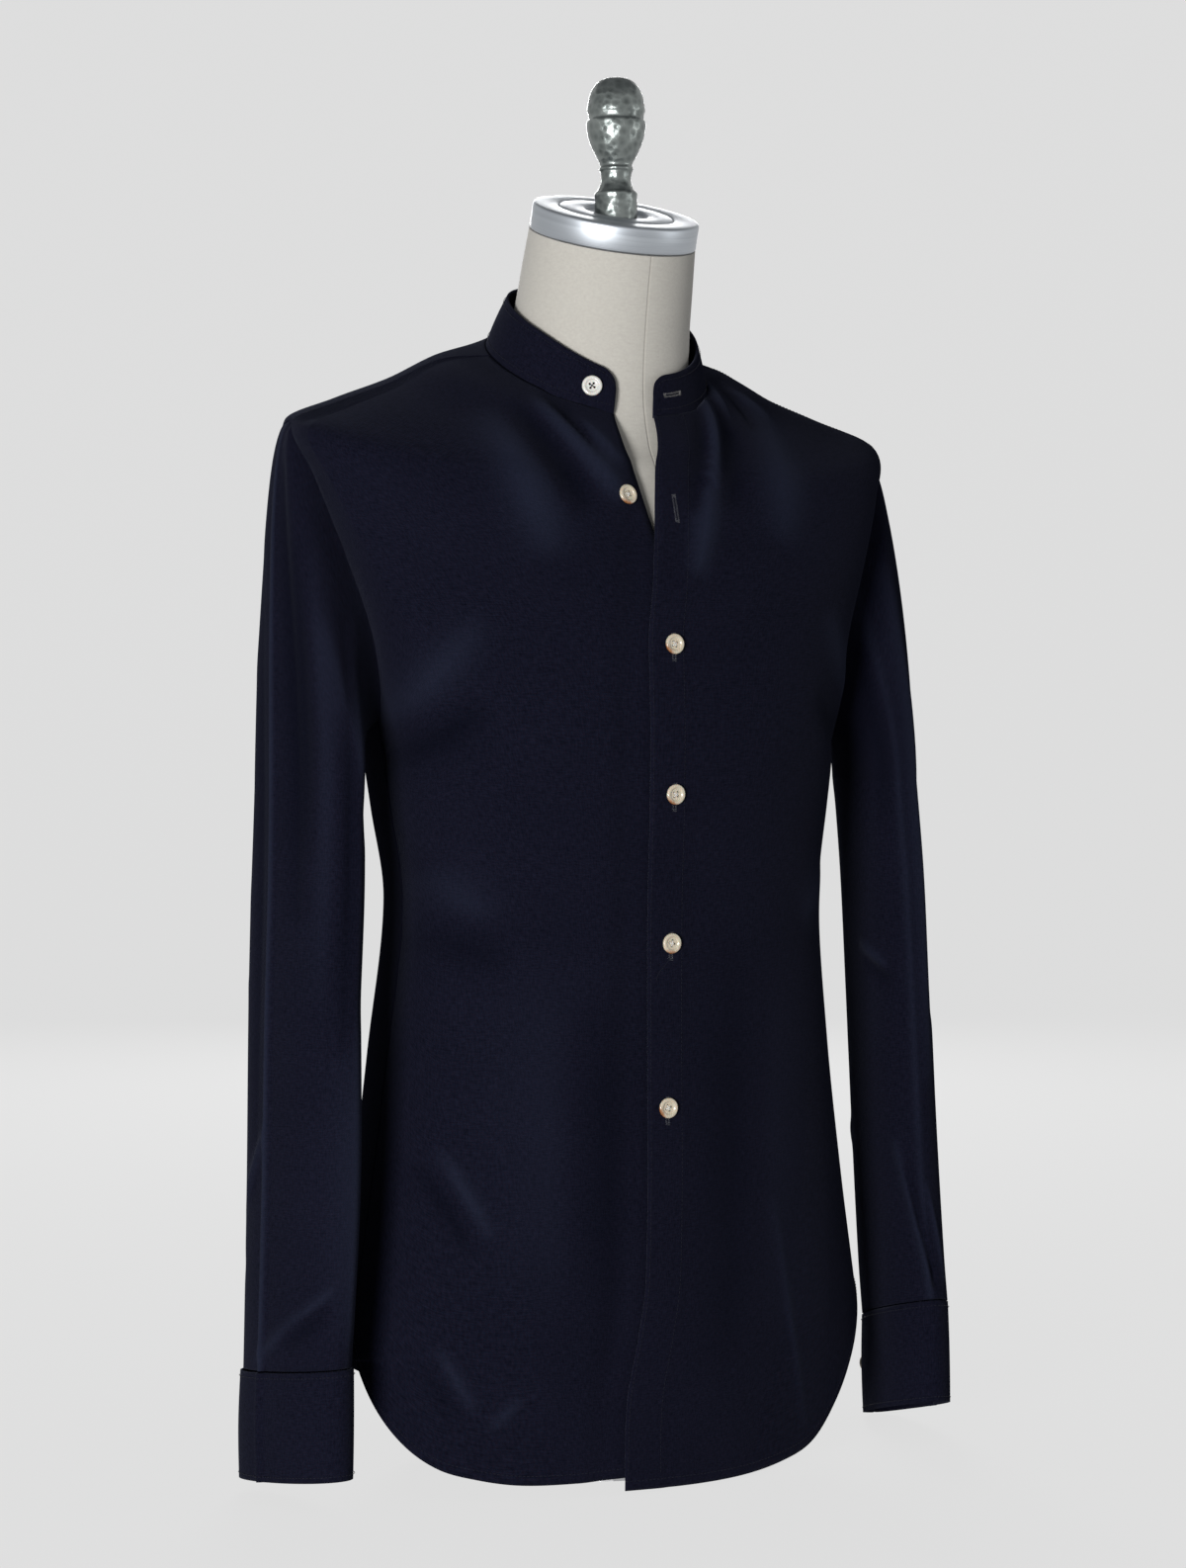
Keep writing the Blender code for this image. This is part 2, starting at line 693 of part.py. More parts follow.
def build_placket(side):
    outer, inner = (mirrored(placket_rows(LIFT_SHARE[side], out), side)
                    for out in (WALL + GAP, GAP))
    sheet("sleeve_placket_right" if side < 0 else "sleeve_placket_left", outer, inner)


for side in (-1, 1):
    build_sleeve(side)
    build_cuff(side)
    build_placket(side)

# ---- buttons --------------------------------------------------------------------------------
Place = namedtuple("Place", "level x")
BUTTON_PLACES = [
    Place(0.690, -0.0285),      # open, on the right front
    Place(0.549, CENTRE_FRONT),
    Place(0.451, CENTRE_FRONT),
    Place(0.355, CENTRE_FRONT),
    Place(0.249, CENTRE_FRONT - 0.003),
]
BUTTON_STEPS = 20
HOLE_RADIUS = 0.00075
HOLE_SPACING = 0.0026
shell = finish("button_shell", SHELL, 0.28)


def turned(name, profile, steps, material, collection=None):
    """A solid of revolution about Z; the profile runs down its outer side, top to bottom."""
    mesh = bpy.data.meshes.new(name)
    corners = [Vector((radius, 0.0, height)) for radius, height in profile]
    mesh.from_pydata(corners, [(i, i + 1) for i in range(len(corners) - 1)], [])
    thing = link(name, mesh, material, collection)
    screw = thing.modifiers.new("turn", "SCREW")
    screw.steps = steps
    screw.render_steps = steps
    screw.use_merge_vertices = True
    screw.merge_threshold = 0.00001
    screw.use_smooth_shade = True
    return thing


def button_profile(radius, height):
    return [
        (0.0, height * 0.62),
        (radius * 0.55, height * 0.62),
        (radius * 0.66, height),
        (radius * 0.90, height),
        (radius, height * 0.72),
        (radius * 0.98, height * 0.35),
        (radius * 0.72, 0.0),
        (0.0, 0.0),
    ]


def hole_cutter(name):
    """Four drills for a button's sewing holes, in one mesh."""
    shape = bmesh.new()
    for sx in (-1, 1):
        for sy in (-1, 1):
            place = Matrix.Translation((sx * HOLE_SPACING / 2, sy * HOLE_SPACING / 2,
                                        BUTTON_HEIGHT / 2))
            bmesh.ops.create_cone(shape, cap_ends=True, segments=6, radius1=HOLE_RADIUS,
                                  radius2=HOLE_RADIUS, depth=BUTTON_HEIGHT * 3, matrix=place)
    mesh = bpy.data.meshes.new(name)
    shape.to_mesh(mesh)
    shape.free()
    drill = link(name, mesh, shell, cutters)
    drill.hide_render = True
    drill.display_type = "WIRE"
    return drill


def stand_on(point, normal, upward):
    """Frame whose Z is the surface's normal and whose Y leans towards upward."""
    z = normal.normalized()
    x = upward.cross(z).normalized()
    y = z.cross(x)
    turn = Matrix((x, y, z)).transposed().to_4x4()
    return Matrix.Translation(point) @ turn


def sew_button(name, point, normal):
    place = stand_on(point + normal.normalized() * GAP, normal, Vector((0, 0, 1)))
    button = turned(name, button_profile(BUTTON_RADIUS, BUTTON_HEIGHT), BUTTON_STEPS, shell)
    button.matrix_world = place
    drill = hole_cutter(name + "_holes")
    drill.matrix_world = place
    cut = button.modifiers.new("holes", "BOOLEAN")
    cut.operation = "DIFFERENCE"
    cut.solver = "EXACT"
    cut.object = drill
    return button


def surface_normal(place):
    """Outward normal from a point function of two small steps."""
    step = 0.002
    sideways = place(step, 0.0) - place(-step, 0.0)
    upwards = place(0.0, step) - place(0.0, -step)
    return sideways.cross(upwards).normalized()


for index, spot in enumerate(BUTTON_PLACES):
    turn = turn_at(spot.x, spot.level)

    def near(du, dv, turn=turn, level=spot.level, side=-1 if index == 0 else 1):
        return front_point(side, turn + du * 400, level + dv)

    sew_button(f"button_front_{index + 1}", near(0.0, 0.0), surface_normal(near))

BAND_BUTTON_TURN = -31.0


def band_near(du, dv):
    return band_point(BAND_BUTTON_TURN + du * 400, 0.0125 + dv)


sew_button("button_collar", band_near(0.0, 0.0), surface_normal(band_near))


def cuff_near(du, dv):
    angle = CUFF_START + (360 + CUFF_OVERLAP) - 15 - du * 400
    return tube_point(tube_at(CUFF, 0.050 + dv), angle, BAND_WALL + 2 * GAP)


for side in (-1, 1):
    point = cuff_near(0.0, 0.0)
    normal = surface_normal(cuff_near)
    if side < 0:
        point = Vector((-point.x, point.y, point.z))
        normal = Vector((-normal.x, normal.y, normal.z))
    name = "button_cuff_right" if side < 0 else "button_cuff_left"
    sew_button(name, point, normal)

# ---- dress form -----------------------------------------------------------------------------
# Its torso is the shirt's own rings drawn in, then a neck that leans forward.
Inset = namedtuple("Inset", "level side front back drop")
FORM_INSETS = [
    Inset(0.130, 0.030, 0.016, 0.016, 0.000),
    Inset(0.160, 0.022, 0.010, 0.010, 0.000),
    Inset(0.220, 0.014, 0.008, 0.008, 0.000),
    Inset(0.300, 0.012, 0.009, 0.010, 0.000),
    Inset(0.380, 0.013, 0.010, 0.010, 0.000),
    Inset(0.450, 0.011, 0.006, 0.007, 0.000),
    Inset(0.500, 0.012, 0.005, 0.006, 0.000),
    Inset(0.550, 0.014, 0.005, 0.006, 0.001),
    Inset(0.605, 0.018, 0.005, 0.006, 0.002),
    Inset(0.655, 0.022, 0.005, 0.006, 0.004),
    Inset(0.694, 0.022, 0.006, 0.006, 0.006),
    Inset(0.715, 0.014, 0.006, 0.006, 0.006),
    Inset(0.735, 0.012, 0.006, 0.006, 0.006),
    Inset(0.755, 0.012, 0.007, 0.008, 0.006),
]
NECK_RINGS = [
    Ring(0.785, 0.7050, 0.7370, 0.7650, 0.0620, 0.0555, 0.0660, 0.0080, 2.0),
    Ring(0.815, 0.7350, 0.7600, 0.7830, 0.0582, 0.0560, 0.0610, 0.0035, 2.0),
    Ring(0.845, 0.7720, 0.7920, 0.8100, 0.0565, 0.0610, 0.0520, -0.0055, 2.0),
    Ring(0.865, 0.7985, 0.8155, 0.8325, 0.0550, 0.0660, 0.0440, -0.0120, 2.0),
]


def form_rings():
    rings = []
    for inset in FORM_INSETS:
        ring = between(SHIRT_RINGS, inset.level)
        rings.append(Ring(
            inset.level,
            ring.front_z - inset.drop,
            ring.side_z - inset.drop,
            ring.back_z - inset.drop,
            ring.half_width - inset.side,
            ring.front - inset.front,
            ring.back - inset.back,
            ring.middle,
            max(ring.fullness, 2.0),
        ))
    return rings + NECK_RINGS


FORM_SIDES = 36
FORM_ROWS = 34
cover = finish("form_cover", COVER, 0.8)


def build_form():
    rings = form_rings()
    low = rings[0].level
    high = rings[-1].level
    mesh = bpy.data.meshes.new("form_torso")
    shape = bmesh.new()
    lines = []
    for j in range(FORM_ROWS + 1):
        ring = between(rings, low + (high - low) * j / FORM_ROWS)
        lines.append([shape.verts.new(ring_point(ring, 360 * i / FORM_SIDES))
                      for i in range(FORM_SIDES)])
    for j in range(FORM_ROWS):
        for i in range(FORM_SIDES):
            beside = (i + 1) % FORM_SIDES
            shape.faces.new((lines[j][i], lines[j][beside],
                             lines[j + 1][beside], lines[j + 1][i]))
    shape.faces.new(lines[0][::-1])
    shape.faces.new(lines[-1])
    shape.to_mesh(mesh)
    shape.free()
    mesh.shade_smooth()
    mesh.set_sharp_from_angle(angle=math.radians(50))
    return link("form_torso", mesh, cover)


build_form()

# ---- neck cap, finial, column and foot ------------------------------------------------------
metal = finish("neck_cap_aluminium", ALUMINIUM, 0.32, 1.0)
steel = finish("stand_steel", (0.50, 0.50, 0.50), 0.35, 1.0)
CAP_RADIUS = 0.0555
CAP_HEIGHT = 0.0175
FINIAL_FOOT = 0.0140
FINIAL_HEIGHT = 0.0900
TILT = math.radians(NECK_TILT)
top_ring = NECK_RINGS[-1]
cap_axis = Vector((0.0, -math.sin(TILT), math.cos(TILT)))
cap_base = Vector((0.0, top_ring.middle, (top_ring.front_z + top_ring.back_z) / 2))
cap_place = Matrix.Translation(cap_base + cap_axis * 2 * GAP) @ Matrix.Rotation(TILT, 4, "X")

cap = turned("neck_cap", [
    (0.0, CAP_HEIGHT - 0.0018),
    (0.0200, CAP_HEIGHT - 0.0018),
    (0.0220, CAP_HEIGHT),
    (0.0370, CAP_HEIGHT),
    (0.0385, CAP_HEIGHT - 0.0012),
    (0.0400, CAP_HEIGHT),
    (CAP_RADIUS - 0.0020, CAP_HEIGHT),
    (CAP_RADIUS, CAP_HEIGHT - 0.0018),
    (CAP_RADIUS, 0.0010),
    (CAP_RADIUS - 0.0010, 0.0),
    (0.0, 0.0),
], 40, metal)
cap.matrix_world = cap_place

# The finial stands upright, its foot cut to the slope of the cap.
finial_foot = cap_place @ Vector((0.0, 0.0, CAP_HEIGHT - 0.0018))
FINIAL = [
    (0.0000, 1.000), (0.0085, 0.985), (0.0140, 0.940), (0.0174, 0.870), (0.0188, 0.800),
    (0.0192, 0.755), (0.0184, 0.725), (0.0184, 0.695), (0.0196, 0.665), (0.0192, 0.600),
    (0.0170, 0.510), (0.0128, 0.410), (0.0106, 0.360), (0.0114, 0.330), (0.0104, 0.300),
    (0.0100, 0.240), (0.0120, 0.180), (0.0142, 0.150), (FINIAL_FOOT, 0.050),
    (FINIAL_FOOT - 0.0010, -0.080), (0.0, -0.080),
]
finial = turned("finial", [(radius, share * FINIAL_HEIGHT) for radius, share in FINIAL],
                24, metal)
finial.location = finial_foot

slab_mesh = bpy.data.meshes.new("finial_foot_plane")
slab_shape = bmesh.new()
bmesh.ops.create_cube(slab_shape, size=0.08)
slab_shape.to_mesh(slab_mesh)
slab_shape.free()
slab = link("finial_foot_plane", slab_mesh, metal, cutters)
slab.hide_render = True
slab.display_type = "WIRE"
slab.matrix_world = cap_place @ Matrix.Translation((0, 0, CAP_HEIGHT - 0.0018 + GAP - 0.04))
trim = finial.modifiers.new("foot", "BOOLEAN")
trim.operation = "DIFFERENCE"
trim.solver = "EXACT"
trim.object = slab

FOOT_RADIUS = 0.064
FOOT_HEIGHT = 0.012
COLUMN_RADIUS = 0.020
turned("stand_foot", [
    (0.0, FOOT_HEIGHT),
    (FOOT_RADIUS - 0.006, FOOT_HEIGHT - 0.002),
    (FOOT_RADIUS, FOOT_HEIGHT * 0.45),
    (FOOT_RADIUS, 0.0),
    (0.0, 0.0),
], 48, steel)
form_bottom = between(SHIRT_RINGS, FORM_INSETS[0].level).front_z
column_length = form_bottom - FOOT_HEIGHT - 2 * GAP
column_mesh = bpy.data.meshes.new("stand_column")
column_shape = bmesh.new()
bmesh.ops.create_cone(column_shape, cap_ends=True, segments=24, radius1=COLUMN_RADIUS,
                      radius2=COLUMN_RADIUS, depth=column_length)
column_shape.to_mesh(column_mesh)
column_shape.free()
column_mesh.shade_smooth()
column_mesh.set_sharp_from_angle(angle=math.radians(50))
post = link("stand_column", column_mesh, steel)
post.location = (0.0, 0.0, FOOT_HEIGHT + GAP + column_length / 2)
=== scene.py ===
"""The looks of a mandarin collar shirt worn on a limbless dress form."""
import math
from collections import namedtuple

import bmesh
import bpy
import numpy as np
from mathutils import Matrix, Vector


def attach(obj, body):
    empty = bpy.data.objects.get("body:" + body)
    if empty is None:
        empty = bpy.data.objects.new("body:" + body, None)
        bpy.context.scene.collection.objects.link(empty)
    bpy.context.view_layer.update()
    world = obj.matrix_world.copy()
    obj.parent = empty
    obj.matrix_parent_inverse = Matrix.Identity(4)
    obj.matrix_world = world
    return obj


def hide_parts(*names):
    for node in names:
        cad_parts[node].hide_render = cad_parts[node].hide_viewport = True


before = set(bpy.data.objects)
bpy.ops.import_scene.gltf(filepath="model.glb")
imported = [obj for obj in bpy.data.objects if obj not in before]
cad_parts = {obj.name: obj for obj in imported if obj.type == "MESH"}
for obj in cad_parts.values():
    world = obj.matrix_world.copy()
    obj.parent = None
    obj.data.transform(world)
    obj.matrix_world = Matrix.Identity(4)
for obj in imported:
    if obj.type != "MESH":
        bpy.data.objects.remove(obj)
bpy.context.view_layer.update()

# ---- the studio -----------------------------------------------------------------------------
# A pale floor that curves up into a round wall, a long lens at chest height a little to the
# wearer's right, one broad lamp low in front, a weak one beside it and one behind.
VIEW_TURN = math.radians(-28.0)
VIEW_SWING = math.radians(0.1755)
VIEW_TILT = math.radians(88.1)
VIEW_DISTANCE = 2.37
VIEW_HEIGHT = 0.533
LENS = 81.5


def place_object(name, data):
    thing = bpy.data.objects.new(name, data)
    bpy.context.scene.collection.objects.link(thing)
    return thing


camera = place_object("camera", bpy.data.cameras.new("camera"))
camera.data.lens = LENS
camera.location = (math.sin(VIEW_TURN) * VIEW_DISTANCE, -math.cos(VIEW_TURN) * VIEW_DISTANCE,
                   VIEW_HEIGHT)
camera.rotation_euler = (VIEW_TILT, 0.0, VIEW_TURN + VIEW_SWING)
bpy.context.scene.camera = camera
bpy.context.scene.view_settings.view_transform = "Standard"

for name, place, target, size, watts in (
        ("front_lamp", (-2.4, -2.1, 0.30), (0.0, 0.0, 0.40), 1.0, 150.0),
        ("side_lamp", (2.3, -1.7, 0.7), (0.0, 0.0, 0.45), 1.2, 9.0),
        ("back_lamp", (1.1, 2.3, 1.3), (0.0, 0.0, 0.45), 1.2, 55.0)):
    light = bpy.data.lights.new(name, "AREA")
    light.shape = "DISK"
    light.size = size
    light.energy = watts
    lamp = place_object(name, light)
    lamp.location = place
    lamp.rotation_euler = (Vector(target) - Vector(place)).to_track_quat("-Z", "Y").to_euler()

ROOM_LIGHT = 0.28
world = bpy.data.worlds.new("room_light")
bpy.context.scene.world = world
world.use_nodes = True
sky = world.node_tree.nodes["Background"].inputs
sky["Color"].default_value = (0.95, 0.97, 1.0, 1.0)
sky["Strength"].default_value = ROOM_LIGHT


def turned_mesh(name, profile, steps, place=Matrix.Identity(4)):
    """A mesh turned about Z; the profile runs down its outer side, (radius, height) pairs."""
    shape = bmesh.new()
    rings = []
    for radius, height in profile:
        if radius == 0.0:
            rings.append([shape.verts.new((0.0, 0.0, height))] * steps)
            continue
        angles = (2 * math.pi * k / steps for k in range(steps))
        rings.append([shape.verts.new((radius * math.cos(a), radius * math.sin(a), height))
                      for a in angles])
    for upper, lower in zip(rings, rings[1:]):
        for k in range(steps):
            n = (k + 1) % steps
            corners = []
            for vert in (upper[k], lower[k], lower[n], upper[n]):
                if vert not in corners:
                    corners.append(vert)
            if len(corners) > 2:
                shape.faces.new(corners)
    shape.transform(place)
    mesh = bpy.data.meshes.new(name)
    shape.to_mesh(mesh)
    shape.free()
    mesh.shade_smooth()
    return mesh


def add_piece(name, mesh, material):
    mesh.materials.append(material)
    return place_object(name, mesh)


def set_inputs(tree, node, inputs):
    """Each input of a node gets a value, or a link from another node's output."""
    for name, value in inputs.items():
        if isinstance(value, bpy.types.NodeSocket):
            tree.links.new(value, node.inputs[name])
        else:
            node.inputs[name].default_value = value
    return node


def new_material(name, colour, roughness, metallic=0.0):
    material = bpy.data.materials.new(name)
    material.use_nodes = True
    tree = material.node_tree
    shader = set_inputs(tree, tree.nodes["Principled BSDF"], {
        "Base Color": (*colour, 1.0), "Roughness": roughness, "Metallic": metallic})
    return material, tree, shader


FLOOR_FLAT = 3.0
FLOOR_REACH = 5.0
WALL_HEIGHT = 4.5
PAINT_GLOW = 0.705
room_profile = [(FLOOR_REACH, WALL_HEIGHT)]
for step in range(13):
    quarter = math.pi / 2 * step / 12
    room_profile.append((FLOOR_FLAT + (FLOOR_REACH - FLOOR_FLAT) * math.cos(quarter),
                         (FLOOR_REACH - FLOOR_FLAT) * (1 - math.sin(quarter))))
room_profile.append((0.0, 0.0))
room_paint, room_tree, room_shader = new_material("room_paint", (0.05, 0.05, 0.05), 0.95)
set_inputs(room_tree, room_shader, {
    "Emission Color": (1.0, 1.0, 1.0, 1.0), "Emission Strength": PAINT_GLOW,
    "Specular IOR Level": 0.0})
room = add_piece("room", turned_mesh("room", room_profile, 96), room_paint)
room.data.flip_normals()
room.visible_diffuse = False

# ---- shirt cloth ----------------------------------------------------------------------------
# Navy cotton in a plain weave: fine threads crossing over and under, a slightly uneven yarn,
# and a dry, matt face with a little sheen where it turns away. Every piece is cut from it.


def socket(group, name, kind, side="INPUT", value=None):
    made = group.interface.new_socket(name, in_out=side, socket_type=f"NodeSocket{kind}")
    if value is not None:
        made.default_value = value
    return made


def add_node(tree, kind, inputs=(), **settings):
    node = tree.nodes.new(kind)
    for name, value in settings.items():
        setattr(node, name, value)
    return set_inputs(tree, node, dict(inputs))


def maths(tree, operation, *values):
    """A Math node; numbers and sockets may both be given."""
    return add_node(tree, "ShaderNodeMath", enumerate(values), operation=operation).outputs[0]


def noise(tree, vector, scale, detail=2.0, stretch=None):
    if stretch is not None:
        vector = add_node(tree, "ShaderNodeMapping",
                          {"Scale": stretch, "Vector": vector}).outputs[0]
    return add_node(tree, "ShaderNodeTexNoise",
                    {"Detail": detail, "Vector": vector, "Scale": scale}).outputs["Fac"]


def mix_colour(tree, factor, first, second):
    first, second = ((*c, 1.0) if isinstance(c, tuple) else c for c in (first, second))
    return add_node(tree, "ShaderNodeMix", {"Factor": factor, 6: first, 7: second},
                    data_type="RGBA", clamp_factor=True).outputs[2]


def bump(tree, shader, height, strength, distance, under=()):
    node = add_node(tree, "ShaderNodeBump", {
        "Strength": strength, "Distance": distance, "Height": height, **dict(under)})
    tree.links.new(node.outputs[0], shader.inputs["Normal"])
    return node.outputs[0]


LINT_SIZE = 0.0052
CLOUD_SCALE = 14.0         # the broad unevenness of the dye
FLECK_SCALE = 1150.0


def build_weave():
    """Plain weave: a height for the bump, the yarn's uneven colour, and rare specks of lint."""
    group = bpy.data.node_groups.new("plain_weave", "ShaderNodeTree")
    socket(group, "Cloth", "Vector")
    socket(group, "Thread Pitch", "Float", value=0.0005)
    socket(group, "Slub Size", "Float", value=0.0016)
    for name in ("Height", "Yarn", "Tint", "Lint"):
        socket(group, name, "Float", "OUTPUT")
    start = group.nodes.new("NodeGroupInput").outputs
    cloth = start["Cloth"]
    parts = add_node(group, "ShaderNodeSeparateXYZ", {0: cloth}).outputs
    warp, weft = (maths(group, "SINE", maths(group, "DIVIDE", maths(
        group, "MULTIPLY", parts[axis], math.pi), start["Thread Pitch"])) for axis in "XY")
    crossing = maths(group, "MULTIPLY_ADD", maths(group, "MULTIPLY", warp, weft), 0.5, 0.5)
    frequency = maths(group, "DIVIDE", 1.0, start["Slub Size"])
    across = noise(group, cloth, frequency, 3.0, (1.0, 0.22, 1.0))
    along = noise(group, cloth, frequency, 3.0, (0.22, 1.0, 1.0))
    slub = maths(group, "MULTIPLY", maths(group, "ADD", across, along), 0.5)
    fleck = noise(group, cloth, FLECK_SCALE, 1.0)
    cloud = noise(group, cloth, CLOUD_SCALE, 2.0)
    specks = add_node(group, "ShaderNodeTexVoronoi", {"Scale": 9.0, "Vector": cloth})
    set_inputs(group, group.nodes.new("NodeGroupOutput"), {
        "Height": maths(group, "ADD", maths(group, "MULTIPLY", crossing, 0.5),
                        maths(group, "MULTIPLY", slub, 0.9)),
        "Yarn": maths(group, "ADD", maths(group, "MULTIPLY", slub, 2.0),
                      maths(group, "MULTIPLY_ADD", cloud, 0.25, -0.62)),
        "Tint": maths(group, "MULTIPLY_ADD", fleck, 3.0, -1.0),
        "Lint": maths(group, "LESS_THAN", specks.outputs["Distance"], LINT_SIZE)})
    return group


weave_group = build_weave()


def weave_on(tree, cloth, pitch, slub):
    """The weave group laid on a material's place or cut."""
    return add_node(tree, "ShaderNodeGroup", {
        "Thread Pitch": pitch, "Slub Size": slub, "Cloth": cloth}, node_tree=weave_group).outputs


NAVY_FOLD_HIGHLIGHT = (0.0230, 0.0285, 0.0520)
FOLD_HIGHLIGHT = 0.33       # painted highlight on the tops of folds
HOLLOW_SHADE = 0.75        # and painted shade in their hollows


def woven_cloth(name, dark, light, tint, pitch, slub, sheen):
    """A woven material whose pattern follows the piece's own cut, in metres."""
    material, tree, shader = new_material(name, light, 0.95)
    weave = weave_on(tree, add_node(tree, "ShaderNodeUVMap", uv_map="cut").outputs[0], pitch, slub)
    fold = add_node(tree, "ShaderNodeAttribute", attribute_name="painted_fold_light").outputs["Fac"]
    colour = mix_colour(tree, weave["Tint"], light, tint)
    colour = mix_colour(tree, weave["Yarn"], dark, colour)
    # Painted light and shade from the fold heights: fold tops are mixed towards a lighter navy as a
    # highlight, hollows towards the dark navy as shade.
    colour = mix_colour(tree, maths(tree, "MULTIPLY", fold, FOLD_HIGHLIGHT), colour, NAVY_FOLD_HIGHLIGHT)
    colour = mix_colour(tree, maths(tree, "MULTIPLY", fold, -HOLLOW_SHADE), colour, dark)
    colour = mix_colour(tree, weave["Lint"], colour, tuple(min(12 * c, 0.6) for c in light))
    set_inputs(tree, shader, {
        "Base Color": colour, "Specular IOR Level": 0.0, "Sheen Weight": sheen,
        "Sheen Roughness": 0.45, "Sheen Tint": (0.55, 0.60, 0.80, 1.0),
        "Roughness": maths(tree, "MULTIPLY_ADD", weave["Yarn"], -0.12, 0.90)})
    bump(tree, shader, weave["Height"], 0.8, 0.0003)
    return material


NAVY_DARK = (0.0018, 0.0021, 0.0046)
NAVY_LIGHT = (0.0070, 0.0094, 0.0200)
NAVY_WARM = (0.0098, 0.0076, 0.0150)
navy = woven_cloth("navy_plain_weave", NAVY_DARK, NAVY_LIGHT, NAVY_WARM, pitch=0.0005,
                   slub=0.0010, sheen=0.04)

# ---- the body surface -----------------------------------------------------------------------
# The fronts, the back and the yoke lie on one surface, a stack of rings round the body, and
# meet along seam lines drawn on it in degrees of turn and in level. 0 degrees is in front.
Ring = namedtuple("Ring", "level front_z side_z back_z half_width front back middle fullness")
SHIRT_RINGS = [Ring(level, level, level, level, *rest) for level, *rest in (
    (0.000, 0.193, 0.101, 0.102, -0.004, 1.80),
    (0.060, 0.193, 0.103, 0.104, -0.004, 1.82),
    (0.095, 0.191, 0.103, 0.112, -0.002, 1.85),
    (0.190, 0.175, 0.103, 0.120, 0.002, 2.05),
    (0.280, 0.162, 0.101, 0.116, 0.003, 2.18),
    (0.380, 0.152, 0.101, 0.102, 0.000, 2.25),
    (0.440, 0.159, 0.105, 0.112, 0.003, 2.25),
    (0.498, 0.168, 0.107, 0.117, 0.004, 2.25))]
SHIRT_RINGS += [
    Ring(0.550, 0.548, 0.552, 0.552, 0.178, 0.104, 0.119, 0.006, 2.25),
    Ring(0.605, 0.590, 0.607, 0.603, 0.195, 0.099, 0.119, 0.010, 2.25),
    Ring(0.655, 0.622, 0.657, 0.648, 0.210, 0.093, 0.117, 0.016, 2.20),
    Ring(0.694, 0.645, 0.690, 0.684, 0.2155, 0.086, 0.111, 0.024, 2.15),
    Ring(0.715, 0.658, 0.7042, 0.704, 0.180, 0.081, 0.103, 0.028, 2.10),
    Ring(0.735, 0.669, 0.7172, 0.721, 0.142, 0.077, 0.096, 0.028, 2.05),
    Ring(0.755, 0.682, 0.7325, 0.741, 0.107, 0.070, 0.088, 0.024, 2.00),
    Ring(0.780, 0.6960, 0.7340, 0.7640, 0.0740, 0.0600, 0.0830, 0.0100, 2.00),
]


def smooth(rows, value):
    """The columns of a table at any value of its first one, along one smooth curve."""
    table = np.array(rows, dtype=float)
    key = table[:, 0]
    value = np.clip(np.asarray(value, dtype=float), key[0], key[-1])
    low = np.clip(np.searchsorted(key, value) - 1, 0, len(key) - 2)
    before = np.maximum(low - 1, 0)
    after = np.minimum(low + 2, len(key) - 1)
    span = (key[low + 1] - key[low])[..., None]
    share = (value - key[low])[..., None] / span
    start = table[low]
    end = table[low + 1]
    rise_start = (end - table[before]) / (key[low + 1] - key[before])[..., None] * span
    rise_end = (table[after] - start) / (key[after] - key[low])[..., None] * span
    square = share * share
    cube = square * share
    return ((2 * cube - 3 * square + 1) * start + (cube - 2 * square + share) * rise_start
            + (3 * square - 2 * cube) * end + (cube - square) * rise_end)


def ring_point(turn, rings):
    """Points on rings, given as columns of the table, at the turns."""
    across = np.sin(np.radians(turn))
    along = np.cos(np.radians(turn))
    _, front_z, side_z, back_z, half_width, front, back, middle, power = np.moveaxis(rings, -1, 0)
    reach = (np.abs(across) ** power + np.abs(along) ** power) ** (-1.0 / power)
    depth = np.where(along > 0, front + middle, back - middle)
    lean = (front_z - back_z) / 2
    bow = (front_z + back_z) / 2 - side_z
    return np.stack((half_width * across * reach, middle - depth * along * reach,
                     side_z + lean * along + bow * along * along), axis=-1)


def unit(vectors):
    return vectors / np.maximum(np.linalg.norm(vectors, axis=-1, keepdims=True), 1e-12)


TURN_STEP = 0.6            # slopes are measured over these steps, in degrees and metres
LEVEL_STEP = 0.0015


def body_point(turn, level, out=0.0, rings=SHIRT_RINGS):
    """Points of the body surface, moved out along its normal."""
    turn, level = np.broadcast_arrays(np.asarray(turn, float), np.asarray(level, float))
    here = smooth(rings, level)
    sideways = ring_point(turn + TURN_STEP, here) - ring_point(turn - TURN_STEP, here)
    upwards = (ring_point(turn, smooth(rings, level + LEVEL_STEP))
               - ring_point(turn, smooth(rings, level - LEVEL_STEP)))
    normal = unit(np.cross(sideways, upwards))
    return ring_point(turn, here) + normal * np.asarray(out)[..., None]


def halve(low, high, times, falls_short):
    """Closes in on the value that just doesn't fall short."""
    for _ in range(times):
        middle = (low + high) / 2
        short = falls_short(middle)
        low, high = np.where(short, middle, low), np.where(short, high, middle)
    return (low + high) / 2


def turn_at(x, level):
    """The turn in front at which the body surface has this x."""
    rings = smooth(SHIRT_RINGS, level)
    reach = np.full(np.shape(level), 60.0)
    return halve(-reach, reach, 36, lambda turn: ring_point(turn, rings)[..., 0] < x)


